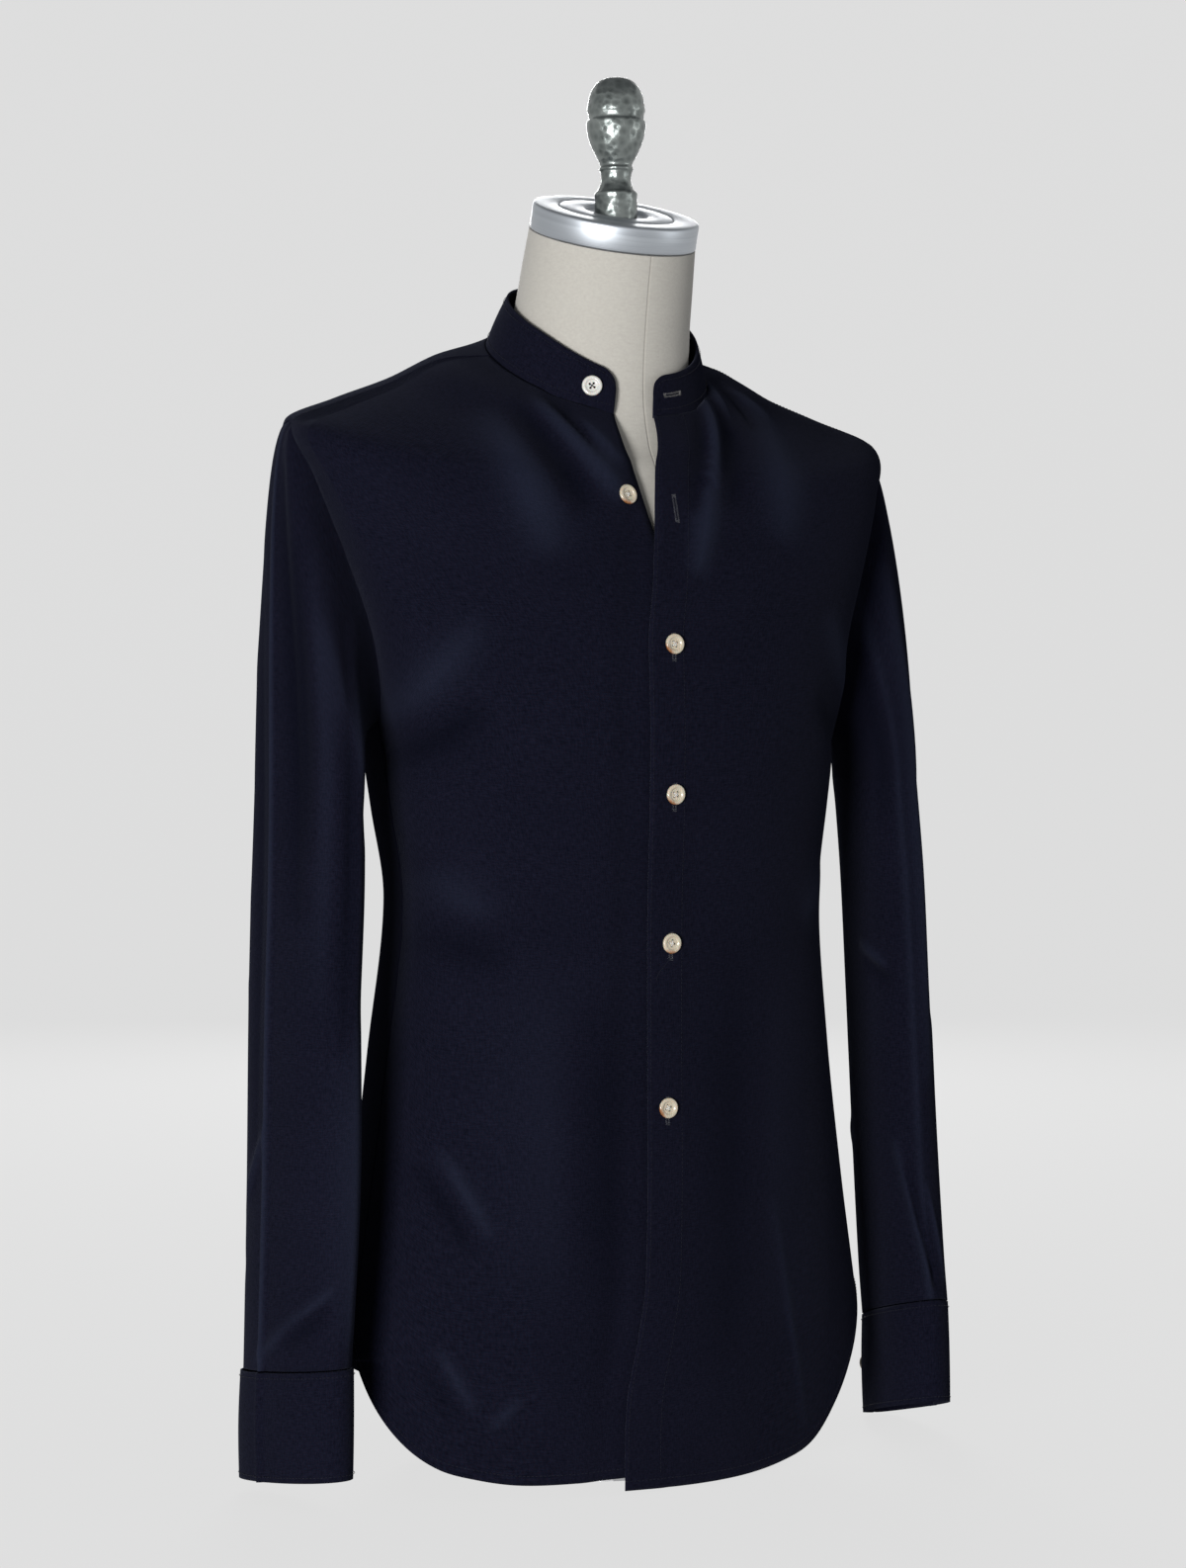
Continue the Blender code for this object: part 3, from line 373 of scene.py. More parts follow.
NECK_LEVEL = 0.780
ARMPIT_LEVEL = 0.498
TIP_LEVEL = 0.694
SIDE_TURN = 85.0
TIP_TURN = 91.0
ARMHOLE_FRONT = 9.0
ARMHOLE_BACK = 24.0
YOKE_FRONT_ANGLE = 167.0
YOKE_BACK_ANGLE = 138.0
YOKE_NECK_TURN = 97.0
YOKE_BACK_LEVEL = 0.672
SIDE_NAME = {-1: "right", 1: "left"}       # the wearer's sides
NECK_TURN = {-1: -17.5, 1: 3.5}
NOTCH = {-1: 0.098, 1: 0.112}
CLOTH = 0.0008             # the wall that a single layer is given
SEAM_LEVEL = 0.0004        # what a seam takes, in level
Hem = namedtuple("Hem", "share right left back")
HEM = [
    Hem(0.00, 0.0122, 0.0032, 0.0050),
    Hem(0.25, 0.0102, 0.0032, 0.0090),
    Hem(0.40, 0.0105, 0.0075, 0.0300),
    Hem(0.52, 0.0145, 0.0165, 0.0560),
    Hem(0.64, 0.0215, 0.0405, 0.0690),
    Hem(0.76, 0.0370, 0.0695, 0.0790),
    Hem(0.88, 0.0620, 0.0970, 0.0880),
    Hem(1.00, NOTCH[-1], NOTCH[1], NOTCH[-1]),
]
Edge = namedtuple("Edge", "level right left")
EDGES = [
    Edge(0.000, 0.000, -0.0370),
    Edge(0.060, 0.002, -0.0365),
    Edge(0.100, 0.005, -0.0290),
    Edge(0.140, 0.007, -0.0235),
    Edge(0.360, 0.007, -0.0215),
    Edge(0.548, 0.007, -0.0225),
    Edge(0.595, 0.001, -0.0175),
    Edge(0.655, -0.0125, -0.0125),
    Edge(0.690, -0.0170, -0.0090),
    Edge(0.730, -0.0210, -0.0035),
]


def column_at(rows, side, value):
    """A table's right or left column at any value of its first one."""
    return smooth(rows, value)[..., 1 if side < 0 else 2]


def edge_turn(side, level):
    """Turn of a front's edge, which runs into the neck end at the neck seam."""
    last = EDGES[-1].level
    level = np.asarray(level, float)
    below = np.minimum(level, last)
    turn = turn_at(column_at(EDGES, side, below), below)
    share = np.maximum(level - last, 0.0) / (NECK_LEVEL - last)
    return turn + (NECK_TURN[side] - turn) * share


def armhole(angle, side=1):
    """Armhole loop: angle 0 at the armpit, 180 at the shoulder tip, below 180 in front."""
    swing = np.sin(np.radians(angle))
    rise = (1 - np.cos(np.radians(angle))) / 2
    reach = np.where(swing > 0, ARMHOLE_FRONT, ARMHOLE_BACK)
    turn = SIDE_TURN + (TIP_TURN - SIDE_TURN) * rise - reach * swing
    return np.stack((side * turn, ARMPIT_LEVEL + (TIP_LEVEL - ARMPIT_LEVEL) * rise), axis=-1)


def between(start, end, share):
    start, end, share = np.asarray(start), np.asarray(end), np.asarray(share)
    return start + (end - start) * share[..., None]


def side_line(foot, top, armhole_end, v, share):
    """A side seam up to the armpit, and on along the armhole to the given angle."""
    below = between(foot, top, np.minimum(v / share, 1.0))
    along = np.maximum(v - share, 0.0) / (1 - share)
    return np.where((v < share)[:, None], below, armhole_end(along))


def behind(place, side):
    """On the wearer's right the turn is counted on past 180."""
    place = np.array(place, float)
    if side < 0:
        place[..., 0] = 360 - place[..., 0]
    return place


def patch(low, high, start, end):
    """Grid of (turn, level) between four boundary lines."""
    u = np.linspace(0, 1, len(low))[None, :, None]
    v = np.linspace(0, 1, len(start))[:, None, None]
    grid = (1 - v) * low[None] + v * high[None] + (1 - u) * start[:, None] + u * end[:, None]
    return grid - ((1 - v) * ((1 - u) * low[0] + u * low[-1])
                   + v * ((1 - u) * high[0] + u * high[-1]))


def cloth_mesh(name, points, closed=False):
    """A sheet through a grid of points, with its cut in metres as a UV map."""
    rows, columns = points.shape[:2]
    wide = columns if closed else columns - 1
    j, i = np.meshgrid(np.arange(rows - 1), np.arange(wide), indexing="ij")
    k = (i + 1) % columns
    faces = np.stack((j * columns + i, j * columns + k, (j + 1) * columns + k,
                      (j + 1) * columns + i), axis=-1).reshape(-1, 4)
    mesh = bpy.data.meshes.new(name)
    mesh.from_pydata(points.reshape(-1, 3).tolist(), [], faces.tolist())
    ring = points[rows // 2]
    steps = np.linalg.norm(np.roll(ring, -1, axis=0) - ring, axis=-1)
    across = np.concatenate(([0.0], np.cumsum(steps)))
    rise = np.linalg.norm(np.diff(points[:, columns // 2], axis=0), axis=-1)
    up = np.concatenate(([0.0], np.cumsum(rise)))
    cut = np.stack((np.stack((across[i], up[j]), -1), np.stack((across[i + 1], up[j]), -1),
                    np.stack((across[i + 1], up[j + 1]), -1), np.stack((across[i], up[j + 1]), -1)),
                   axis=2).reshape(-1)
    layer = mesh.uv_layers.new(name="cut")
    layer.data.foreach_set("uv", cut)
    mesh.shade_smooth()
    return mesh


def fit(piece, node):
    """Puts a piece in the place of its plain solid."""
    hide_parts(node)
    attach(piece, "root")


FOLD_LIGHT_HEIGHT = 0.0022    # folds well above this height get the full painted highlight, hollows that deep the full painted shade


def sew_piece(name, points, node, wall=CLOTH, closed=False,
              folds=None):
    """Makes a piece of cloth, gives it its wall, and puts it in the place of its plain solid."""
    piece = add_piece(name, cloth_mesh(name, points, closed), navy)
    # The fold heights are kept for the material as painted light and shade: tops lighter, hollows
    # darker.
    if folds is not None:
        painted_fold_light = piece.data.attributes.new("painted_fold_light", "FLOAT", "POINT")
        share = np.tanh(folds / FOLD_LIGHT_HEIGHT)
        painted_fold_light.data.foreach_set("value", np.ravel(share).astype(np.float32))
    solid = piece.modifiers.new("wall", "SOLIDIFY")
    solid.thickness = wall
    solid.offset = -1.0
    solid.use_even_offset = True
    solid.use_quality_normals = True
    fit(piece, node)


Fold = namedtuple("Fold", "x1 z1 x2 z2 width height")
FOLD_START = 0.12          # how far into its swell a fold begins and ends
FOLD_POWER = 1.5           # 1 is a sharp edge, 2 a soft round


def fold_height(folds, x, z):
    """Soft ridges and troughs along lines drawn on a piece."""
    total = np.zeros(np.shape(x))
    for fold in folds:
        run_x = fold.x2 - fold.x1
        run_z = fold.z2 - fold.z1
        length = math.hypot(run_x, run_z)
        along = ((x - fold.x1) * run_x + (z - fold.z1) * run_z) / length ** 2
        near = np.clip(along, 0.0, 1.0)
        away = np.hypot(x - fold.x1 - run_x * near, z - fold.z1 - run_z * near)
        fade = np.sin(np.pi * np.clip(FOLD_START + (1 - 2 * FOLD_START) * along, 0.0, 1.0))
        total += fold.height * fade * np.exp(-(away / fold.width) ** FOLD_POWER)
    return total


def eased(value, low, high):
    share = np.clip((value - low) / (high - low), 0.0, 1.0)
    return share * share * (3 - 2 * share)


# ---- dress form -----------------------------------------------------------------------------
# A moulded torso without arms or head, under a tight cream cotton cover with a seam down the
# middle of the neck. The shirt hangs from its shoulders; the neck leans forward.
Inset = namedtuple("Inset", "level side front back drop")
FORM_INSETS = [
    Inset(0.130, 0.030, 0.016, 0.016, 0.000),
    Inset(0.160, 0.022, 0.010, 0.010, 0.000),
    Inset(0.220, 0.014, 0.008, 0.008, 0.000),
    Inset(0.300, 0.012, 0.009, 0.010, 0.000),
    Inset(0.380, 0.013, 0.010, 0.010, 0.000),
    Inset(0.450, 0.011, 0.006, 0.007, 0.000),
    Inset(0.500, 0.012, 0.005, 0.006, 0.000),
    Inset(0.550, 0.014, 0.005, 0.006, 0.001),
    Inset(0.605, 0.018, 0.005, 0.006, 0.002),
    Inset(0.655, 0.022, 0.005, 0.006, 0.004),
    Inset(0.694, 0.022, 0.006, 0.006, 0.006),
    Inset(0.715, 0.014, 0.006, 0.006, 0.006),
    Inset(0.735, 0.012, 0.006, 0.006, 0.006),
    Inset(0.755, 0.012, 0.007, 0.008, 0.006),
]
NECK_RINGS = [
    Ring(0.785, 0.7050, 0.7370, 0.7650, 0.0620, 0.0555, 0.0660, 0.0080, 2.0),
    Ring(0.815, 0.7350, 0.7600, 0.7830, 0.0582, 0.0560, 0.0610, 0.0035, 2.0),
    Ring(0.845, 0.7720, 0.7920, 0.8100, 0.0565, 0.0610, 0.0520, -0.0055, 2.0),
    Ring(0.865, 0.7985, 0.8155, 0.8325, 0.0550, 0.0660, 0.0440, -0.0120, 2.0),
]


def form_rings():
    rings = []
    for inset in FORM_INSETS:
        ring = Ring(*smooth(SHIRT_RINGS, inset.level))
        rings.append(Ring(inset.level, ring.front_z - inset.drop, ring.side_z - inset.drop,
                          ring.back_z - inset.drop, ring.half_width - inset.side,
                          ring.front - inset.front, ring.back - inset.back, ring.middle,
                          max(ring.fullness, 2.0)))
    return rings + NECK_RINGS


SEAM_WIDTH = 0.0009


def cover_material():
    material, tree, shader = new_material("form_cover", (0.42, 0.40, 0.36), 0.85)
    place = add_node(tree, "ShaderNodeTexCoord").outputs["Object"]
    weave = weave_on(tree, place, pitch=0.0006, slub=0.0014)
    colour = mix_colour(tree, weave["Yarn"], (0.350, 0.333, 0.300), (0.415, 0.398, 0.360))
    from_seam = maths(tree, "ABSOLUTE", add_node(
        tree, "ShaderNodeSeparateXYZ", {0: place}).outputs["X"])
    seam = maths(tree, "SUBTRACT", 1.0, maths(
        tree, "SMOOTH_MIN", maths(tree, "DIVIDE", from_seam, SEAM_WIDTH), 1.0, 0.2))
    colour = mix_colour(tree, maths(tree, "MULTIPLY", seam, 0.35), colour, (0.27, 0.25, 0.21))
    set_inputs(tree, shader, {"Base Color": colour, "Specular IOR Level": 0.25,
                              "Sheen Weight": 0.15})
    groove = bump(tree, shader, maths(tree, "MULTIPLY", seam, -1.0), 0.5, 0.0006)
    bump(tree, shader, weave["Height"], 0.30, 0.0002, {"Normal": groove})
    return material


FORM_SIDES = 128
FORM_ROWS = 150


def build_form():
    rings = form_rings()
    level = np.linspace(rings[0].level, rings[-1].level, FORM_ROWS + 1)
    turn = np.arange(FORM_SIDES) * 360.0 / FORM_SIDES
    points = body_point(turn[None, :], level[:, None], 0.0, rings)
    mesh = bpy.data.meshes.new("dress_form")
    shape = bmesh.new()
    lines = [[shape.verts.new(point) for point in line] for line in points]
    for lower, upper in zip(lines, lines[1:]):
        for i in range(FORM_SIDES):
            k = (i + 1) % FORM_SIDES
            shape.faces.new((lower[i], lower[k], upper[k], upper[i]))
    shape.faces.new(lines[0][::-1])
    shape.faces.new(lines[-1])
    shape.to_mesh(mesh)
    shape.free()
    mesh.shade_smooth()
    mesh.set_sharp_from_angle(angle=math.radians(50))
    fit(add_piece("dress_form", mesh, cover_material()), "form_torso")


build_form()

# ---- the two fronts -------------------------------------------------------------------------
# Cut with a shirt-tail hem and turned once along it. The left front's edge is folded into a
# narrow placket and laps over the right front, which sinks under it; the top is left open.
FRONT_COLUMNS = 140
FRONT_ROWS = 244
SIDE_SHARE = 0.60
NECK_SHARE = 0.30
LAYER = 0.0023
PLACKET_WIDTH = 0.027
PLACKET_STEP = 0.0006
HEM_TURN = 0.007           # width of the narrow hem
HEM_STEP = 0.0005
FRONT_FOLDS = {-1: [
    Fold(-0.060, 0.708, -0.044, 0.668, 0.0060, -0.0042),
    Fold(-0.069, 0.702, -0.034, 0.644, 0.0075, 0.0058),
    Fold(-0.084, 0.698, -0.060, 0.636, 0.0090, -0.0041),
    Fold(-0.050, 0.694, -0.028, 0.664, 0.0040, 0.0031),
    Fold(-0.104, 0.690, -0.085, 0.610, 0.0140, 0.0031),
    Fold(-0.146, 0.222, -0.122, 0.172, 0.0040, 0.0018),
    Fold(-0.158, 0.214, -0.132, 0.160, 0.0050, -0.0018),
    Fold(-0.150, 0.096, -0.132, 0.060, 0.0036, 0.0015),
    Fold(-0.104, 0.066, -0.122, 0.048, 0.0036, 0.0013),
    Fold(-0.160, 0.088, -0.140, 0.050, 0.0046, -0.0012),
    Fold(-0.165, 0.470, -0.128, 0.505, 0.0090, -0.0024),
    Fold(-0.168, 0.500, -0.130, 0.560, 0.0100, 0.0014),
    Fold(-0.145, 0.400, -0.120, 0.372, 0.0110, 0.0010),
    Fold(-0.150, 0.360, -0.110, 0.345, 0.0110, -0.0015),
    Fold(-0.090, 0.330, -0.080, 0.120, 0.0300, 0.0006),
    Fold(-0.050, 0.300, -0.046, 0.080, 0.0200, -0.0017),
], 1: [
    Fold(0.055, 0.708, 0.036, 0.654, 0.0050, 0.0062),
    Fold(0.038, 0.666, 0.017, 0.596, 0.0060, 0.0051),
    Fold(0.046, 0.702, 0.022, 0.636, 0.0060, -0.0042),
    Fold(0.068, 0.704, 0.050, 0.640, 0.0070, -0.0039),
    Fold(0.072, 0.722, 0.066, 0.690, 0.0034, 0.0030),
    Fold(0.082, 0.722, 0.088, 0.692, 0.0036, -0.0024),
    Fold(0.090, 0.718, 0.108, 0.700, 0.0040, 0.0027),
    Fold(0.104, 0.700, 0.088, 0.620, 0.0140, 0.0027),
    Fold(0.077, 0.180, 0.108, 0.032, 0.0030, 0.0012),
    Fold(0.166, 0.470, 0.120, 0.515, 0.0120, -0.0027),
    Fold(0.168, 0.505, 0.132, 0.565, 0.0110, 0.0021),
    Fold(0.140, 0.395, 0.112, 0.366, 0.0130, 0.0018),
    Fold(0.080, 0.320, 0.074, 0.110, 0.0300, 0.0005),
    Fold(0.045, 0.340, 0.040, 0.090, 0.0200, -0.0015),
]}


def front_places(side):
    u = np.linspace(0, 1, FRONT_COLUMNS + 1)
    v = np.linspace(0, 1, FRONT_ROWS + 1)
    hem = column_at(HEM, side, u)
    seam = side * SIDE_TURN
    first = edge_turn(side, hem[0])
    low = np.stack((first + (seam - first) * u, hem), axis=-1)
    top = NECK_LEVEL - SEAM_LEVEL
    level = hem[0] + (top - hem[0]) * v
    start = np.stack((edge_turn(side, level), level), axis=-1)
    end = side_line((seam, NOTCH[side]), (seam, ARMPIT_LEVEL),
                    lambda along: armhole(YOKE_FRONT_ANGLE * along, side), v, SIDE_SHARE)
    shoulder = (side * YOKE_NECK_TURN, top)
    tip = armhole(YOKE_FRONT_ANGLE, side)
    neck = between((NECK_TURN[side], top), shoulder, np.minimum(u / NECK_SHARE, 1.0))
    across = between(shoulder, tip, np.maximum(u - NECK_SHARE, 0.0) / (1 - NECK_SHARE))
    high = np.where((u < NECK_SHARE)[:, None], neck, across)
    return patch(low, high, start, end), hem


EDGE_FREE = (0.004, 0.030)      # the folds fade out this near to the buttoning edge
UNDERLAP = (0.030, 0.012)       # the right front sinks between these distances past the edge


def front_folds(side, turn, level):
    plain = body_point(turn, level)
    free = eased(np.abs(plain[..., 0] - column_at(EDGES, 1, level)), *EDGE_FREE)
    return free * fold_height(FRONT_FOLDS[side], plain[..., 0], plain[..., 2])


def front_point(side, turn, level, out=0.0, drape=True):
    """A front's points: the right one sinks under the left, the left has its placket step."""
    x = body_point(turn, level)[..., 0]
    edge = column_at(EDGES, 1, level)
    if side < 0:
        out = out - LAYER * eased(x, edge - UNDERLAP[0], edge - UNDERLAP[1])
    else:
        step = edge + PLACKET_WIDTH
        out = out + PLACKET_STEP * (1 - eased(x, step - 0.0006, step + 0.0010))
    if drape:
        out = out + front_folds(side, turn, level)
    return body_point(turn, level, out)


def hem_thickness(level, hem):
    """The narrow hem is turned up once, so it is one layer thicker."""
    return HEM_STEP * (1 - eased(level - hem, HEM_TURN, HEM_TURN + 0.0012))


def build_front(side):
    places, hem = front_places(side)
    turn, level = places[..., 0], places[..., 1]
    points = front_point(side, turn, level, hem_thickness(level, hem[None, :]))
    folds = front_folds(side, turn, level)
    if side < 0:
        points, folds = points[:, ::-1], folds[:, ::-1]
    name = SIDE_NAME[side]
    sew_piece(f"cloth_front_{name}", points, f"front_{name}",
              folds=folds)


for side in (-1, 1):
    build_front(side)

# ---- the back -------------------------------------------------------------------------------
# One piece with a longer shirt tail, narrow-hemmed like the fronts, joined to the yoke across
# the shoulder blades. It hangs in soft lengthwise folds towards the waist.
BACK_COLUMNS = 170
BACK_ROWS = 160
BACK_SIDE_SHARE = 0.62
SIDE_SEAM = 0.18           # degrees that the side seam takes
BACK_FOLDS = [
    Fold(-0.060, 0.600, -0.052, 0.330, 0.0200, -0.0035),
    Fold(-0.030, 0.560, -0.026, 0.360, 0.0150, 0.0029),
    Fold(0.020, 0.590, 0.018, 0.340, 0.0170, -0.0029),
    Fold(0.055, 0.560, 0.060, 0.320, 0.0190, 0.0032),
    Fold(0.090, 0.520, 0.084, 0.380, 0.0160, -0.0026),
    Fold(-0.100, 0.500, -0.092, 0.360, 0.0150, 0.0024),
    Fold(-0.130, 0.420, -0.060, 0.400, 0.0100, -0.0022),
    Fold(0.125, 0.430, 0.070, 0.405, 0.0090, -0.0019),
    Fold(-0.120, 0.390, -0.050, 0.372, 0.0100, 0.0022),
    Fold(-0.155, 0.540, -0.110, 0.590, 0.0110, 0.0026),
    Fold(0.158, 0.535, 0.116, 0.600, 0.0120, 0.0026),
    Fold(0.120, 0.230, 0.090, 0.080, 0.0160, 0.0022),
    Fold(-0.110, 0.220, -0.094, 0.070, 0.0180, 0.0019),
    Fold(0.010, 0.250, 0.020, 0.060, 0.0220, -0.0019),
]


def yoke_back_level(turn):
    tip_turn, tip_level = armhole(-YOKE_BACK_ANGLE)
    share = np.abs(turn - 180) / (180 - tip_turn)
    return YOKE_BACK_LEVEL + (tip_level - YOKE_BACK_LEVEL) * share * share


def back_hem(u):
    return smooth(HEM, np.abs(2 * u - 1))[..., 3] + (NOTCH[1] - NOTCH[-1]) * (1 - u) ** 4


TIP_GAP = 0.4              # degrees of the armhole that the yoke seam takes


def build_back():
    u = np.linspace(0, 1, BACK_COLUMNS + 1)
    v = np.linspace(0, 1, BACK_ROWS + 1)
    first = SIDE_TURN + SIDE_SEAM
    hem = back_hem(u)
    low = np.stack((first + (360 - 2 * first) * u, hem), axis=-1)
    tip_angle = YOKE_BACK_ANGLE - TIP_GAP
    left = armhole(-tip_angle)
    turn = left[0] + (360 - 2 * left[0]) * u
    high = np.stack((turn, yoke_back_level(turn) - SEAM_LEVEL), axis=-1)
    sides = [behind(side_line((first, NOTCH[side]), (first, ARMPIT_LEVEL),
                              lambda along: armhole(-tip_angle * along), v, BACK_SIDE_SHARE), side)
             for side in (1, -1)]
    turn, level = np.moveaxis(patch(low, high, *sides), -1, 0)
    plain = body_point(turn, level)
    edge_free = eased(np.abs(2 * u - 1)[None, :], 1.0, 0.90)
    folds = edge_free * fold_height(BACK_FOLDS, plain[..., 0], plain[..., 2])
    points = body_point(turn, level, folds + hem_thickness(level, hem[None, :]))
    sew_piece("cloth_back", points, "back",
              folds=folds)


build_back()

# ---- the yoke -------------------------------------------------------------------------------
# A double layer over both shoulders, from the front seams over the top to the shoulder blades,
# with the collar band sewn round its neck edge.
YOKE_COLUMNS = 200
YOKE_ROWS = 60
YOKE_SIDE = 0.22           # share of the lower edge that runs along each armhole
YOKE_SEAM = 0.56           # share that is the seam with the back
YOKE_GAP = 0.30            # degrees between the front's end and the yoke's
YOKE_WALL = 0.0012
YOKE_FOLDS = [Fold(side * 0.085, 0.735, side * 0.080, 0.700, 0.0080, 0.0010) for side in (-1, 1)]


def build_yoke():
    u = np.linspace(0, 1, YOKE_COLUMNS + 1)
    v = np.linspace(0, 1, YOKE_ROWS + 1)
    begin = YOKE_FRONT_ANGLE + YOKE_GAP
    finish = 360 - YOKE_BACK_ANGLE
    neck = np.array((YOKE_NECK_TURN + YOKE_GAP, NECK_LEVEL - SEAM_LEVEL))
    over_left, over_right = (
        behind(armhole(begin + (finish - begin) * np.clip(share / YOKE_SIDE, 0, 1)), side)
        for share, side in ((u, 1), (1 - u, -1)))
    left = armhole(-YOKE_BACK_ANGLE)
    turn = left[0] + (360 - 2 * left[0]) * np.clip((u - YOKE_SIDE) / YOKE_SEAM, 0, 1)
    seam = np.stack((turn, yoke_back_level(turn)), axis=-1)
    low = np.where((u < YOKE_SIDE)[:, None], over_left,
                   np.where((u > YOKE_SIDE + YOKE_SEAM)[:, None], over_right, seam))
    high = between(neck, behind(neck, -1), u)
    start = between(armhole(begin), neck, v)
    turn, level = np.moveaxis(patch(low, high, start, behind(start, -1)), -1, 0)
    plain = body_point(turn, level)
    points = body_point(turn, level, fold_height(YOKE_FOLDS, plain[..., 0], plain[..., 2]))
    sew_piece("cloth_yoke", points, "yoke",
              wall=YOKE_WALL)


build_yoke()

# ---- collar band ----------------------------------------------------------------------------
# The standing mandarin collar: two layers and an interlining, so it is thicker and smoother,
# with rounded front ends. It is lower towards the ends and leans in towards the neck.
BAND_COLUMNS = 260
BAND_ROWS = 20
BAND_WALL = 0.0018
BAND_HEIGHT = 0.0325
BAND_END_HEIGHT = 0.026
BAND_CORNER = 0.013
BAND_LEAN_FRONT = 0.38
BAND_LEAN_BACK = 0.30
BAND_TILT = math.radians(20.0)
BAND_LENGTH = 0.42
BAND_EASE = 0.055          # closer points towards the ends
BAND_TUCK = 0.0020         # how far it reaches under the edge of the neck
BAND_LIFT = 0.0004
BAND_INSET = 0.4           # degrees that its ends stand back from the fronts' edges
BAND_ROLL = 0.0007
BAND_WAVE = 0.0005


def wrap(angle):
    return (angle + 180) % 360 - 180


def band_height(turn):
    from_front = np.abs(wrap(turn))
    left = turn % 360 < 180
    full = np.where(left, eased(from_front, 45.0, 140.0), eased(from_front, 12.0, 75.0))
    return BAND_END_HEIGHT + (BAND_HEIGHT - BAND_END_HEIGHT) * full


def neck_seam(turn):
    rings = np.broadcast_to(np.array(SHIRT_RINGS[-1], float), np.shape(turn) + (9,))
    return ring_point(turn, rings)


def band_point(turn, rise, out=0.0):
    """Points of the band; rise is the height above its seam."""
    turn, rise = np.broadcast_arrays(np.asarray(turn, float), np.asarray(rise, float))
    foot = neck_seam(turn)
    centre = np.zeros(foot.shape)
    centre[..., 1] = SHIRT_RINGS[-1].middle
    centre[..., 2] = foot[..., 2]
    outward = unit(foot - centre)
    axis = np.array((0.0, -math.sin(BAND_TILT), math.cos(BAND_TILT)))
    from_front = np.abs(wrap(turn))
    lean = BAND_LEAN_FRONT + (BAND_LEAN_BACK - BAND_LEAN_FRONT) * eased(from_front, 60, 125)
    upright = unit(axis - outward * lean[..., None])
    around = unit(neck_seam(turn + 1) - neck_seam(turn - 1))
    normal = unit(np.cross(around, upright))
    return (foot + axis * BAND_LIFT + upright * rise[..., None]
            + normal * np.asarray(out)[..., None])


def corner_drop(share, length, corner):
    """How much a rounded corner takes off an edge of the given length, at each end."""
    run = np.clip(corner - np.minimum(share, 1 - share) * length, 0.0, corner)
    return 0.9 * (corner - np.sqrt(corner ** 2 - run ** 2))


def band_places(columns):
    """Turn and full height along the band, with its ends rounded."""
    share = np.linspace(0, 1, columns + 1)
    ease = share - BAND_EASE * np.sin(2 * np.pi * share)
    first = NECK_TURN[1] + BAND_INSET
    last = 360 + NECK_TURN[-1] - BAND_INSET
    turn = first + (last - first) * ease
    return turn, band_height(turn) - corner_drop(ease, BAND_LENGTH, BAND_CORNER)


def build_band():
    turn, top = band_places(BAND_COLUMNS)
    share = np.linspace(0, 1, BAND_ROWS + 1)[:, None]
    rise = -BAND_TUCK + (top[None, :] + BAND_TUCK) * share
    roll = BAND_ROLL * np.sin(np.pi * share)
    wave = BAND_WAVE * np.sin(np.radians(turn) * 5.0 + 0.8)[None, :] * share
    points = band_point(np.broadcast_to(turn, rise.shape), rise, roll + wave)
    sew_piece("cloth_collar_band", points, "collar_band",
              wall=BAND_WALL)


build_band()

# ---- sleeves --------------------------------------------------------------------------------
# A tapered tube set into the armhole, pressed flat, so that a sharp crease runs down its outer
# side from the shoulder and a softer one down its front edge. They hang empty.
Tube = namedtuple("Tube", "level x y half_width half_depth twist lift")
SLEEVE = [
    Tube(0.4550, 0.2140, 0.001, 0.0228, 0.0545, 11.0, 0.00),
    Tube(0.3900, 0.2170, -0.004, 0.0230, 0.0550, 11.0, 0.00),
    Tube(0.3100, 0.2205, -0.006, 0.0228, 0.0545, 10.5, 0.04),
    Tube(0.2000, 0.2243, -0.010, 0.0227, 0.0540, 10.0, 0.12),
    Tube(0.1200, 0.2278, -0.013, 0.0226, 0.0538, 9.5, 0.19),
    Tube(0.0862, 0.2296, -0.015, 0.0226, 0.0536, 9.5, 0.22),
]
CREASE = 0.0030
CREASE_ANGLE = -7.0
CREASE_SPREAD = 3.0
CREASE_HIGHLIGHT = 1.9         # a painted highlight along the crease, brighter than any fold's
FRONT_CREASE = {-1: 0.00072, 1: 0.0016}
FRONT_CREASE_ANGLE = 100.0
GATHER = 0.0005
GATHER_REACH = 0.10
LIFT_SHARE = {-1: 0.6, 1: 1.2}
SLEEVE_SIDES = 180
HEAD_RINGS = 60
TUBE_RINGS = 140
DEGREE = 0.00072           # metres round the sleeve in a degree
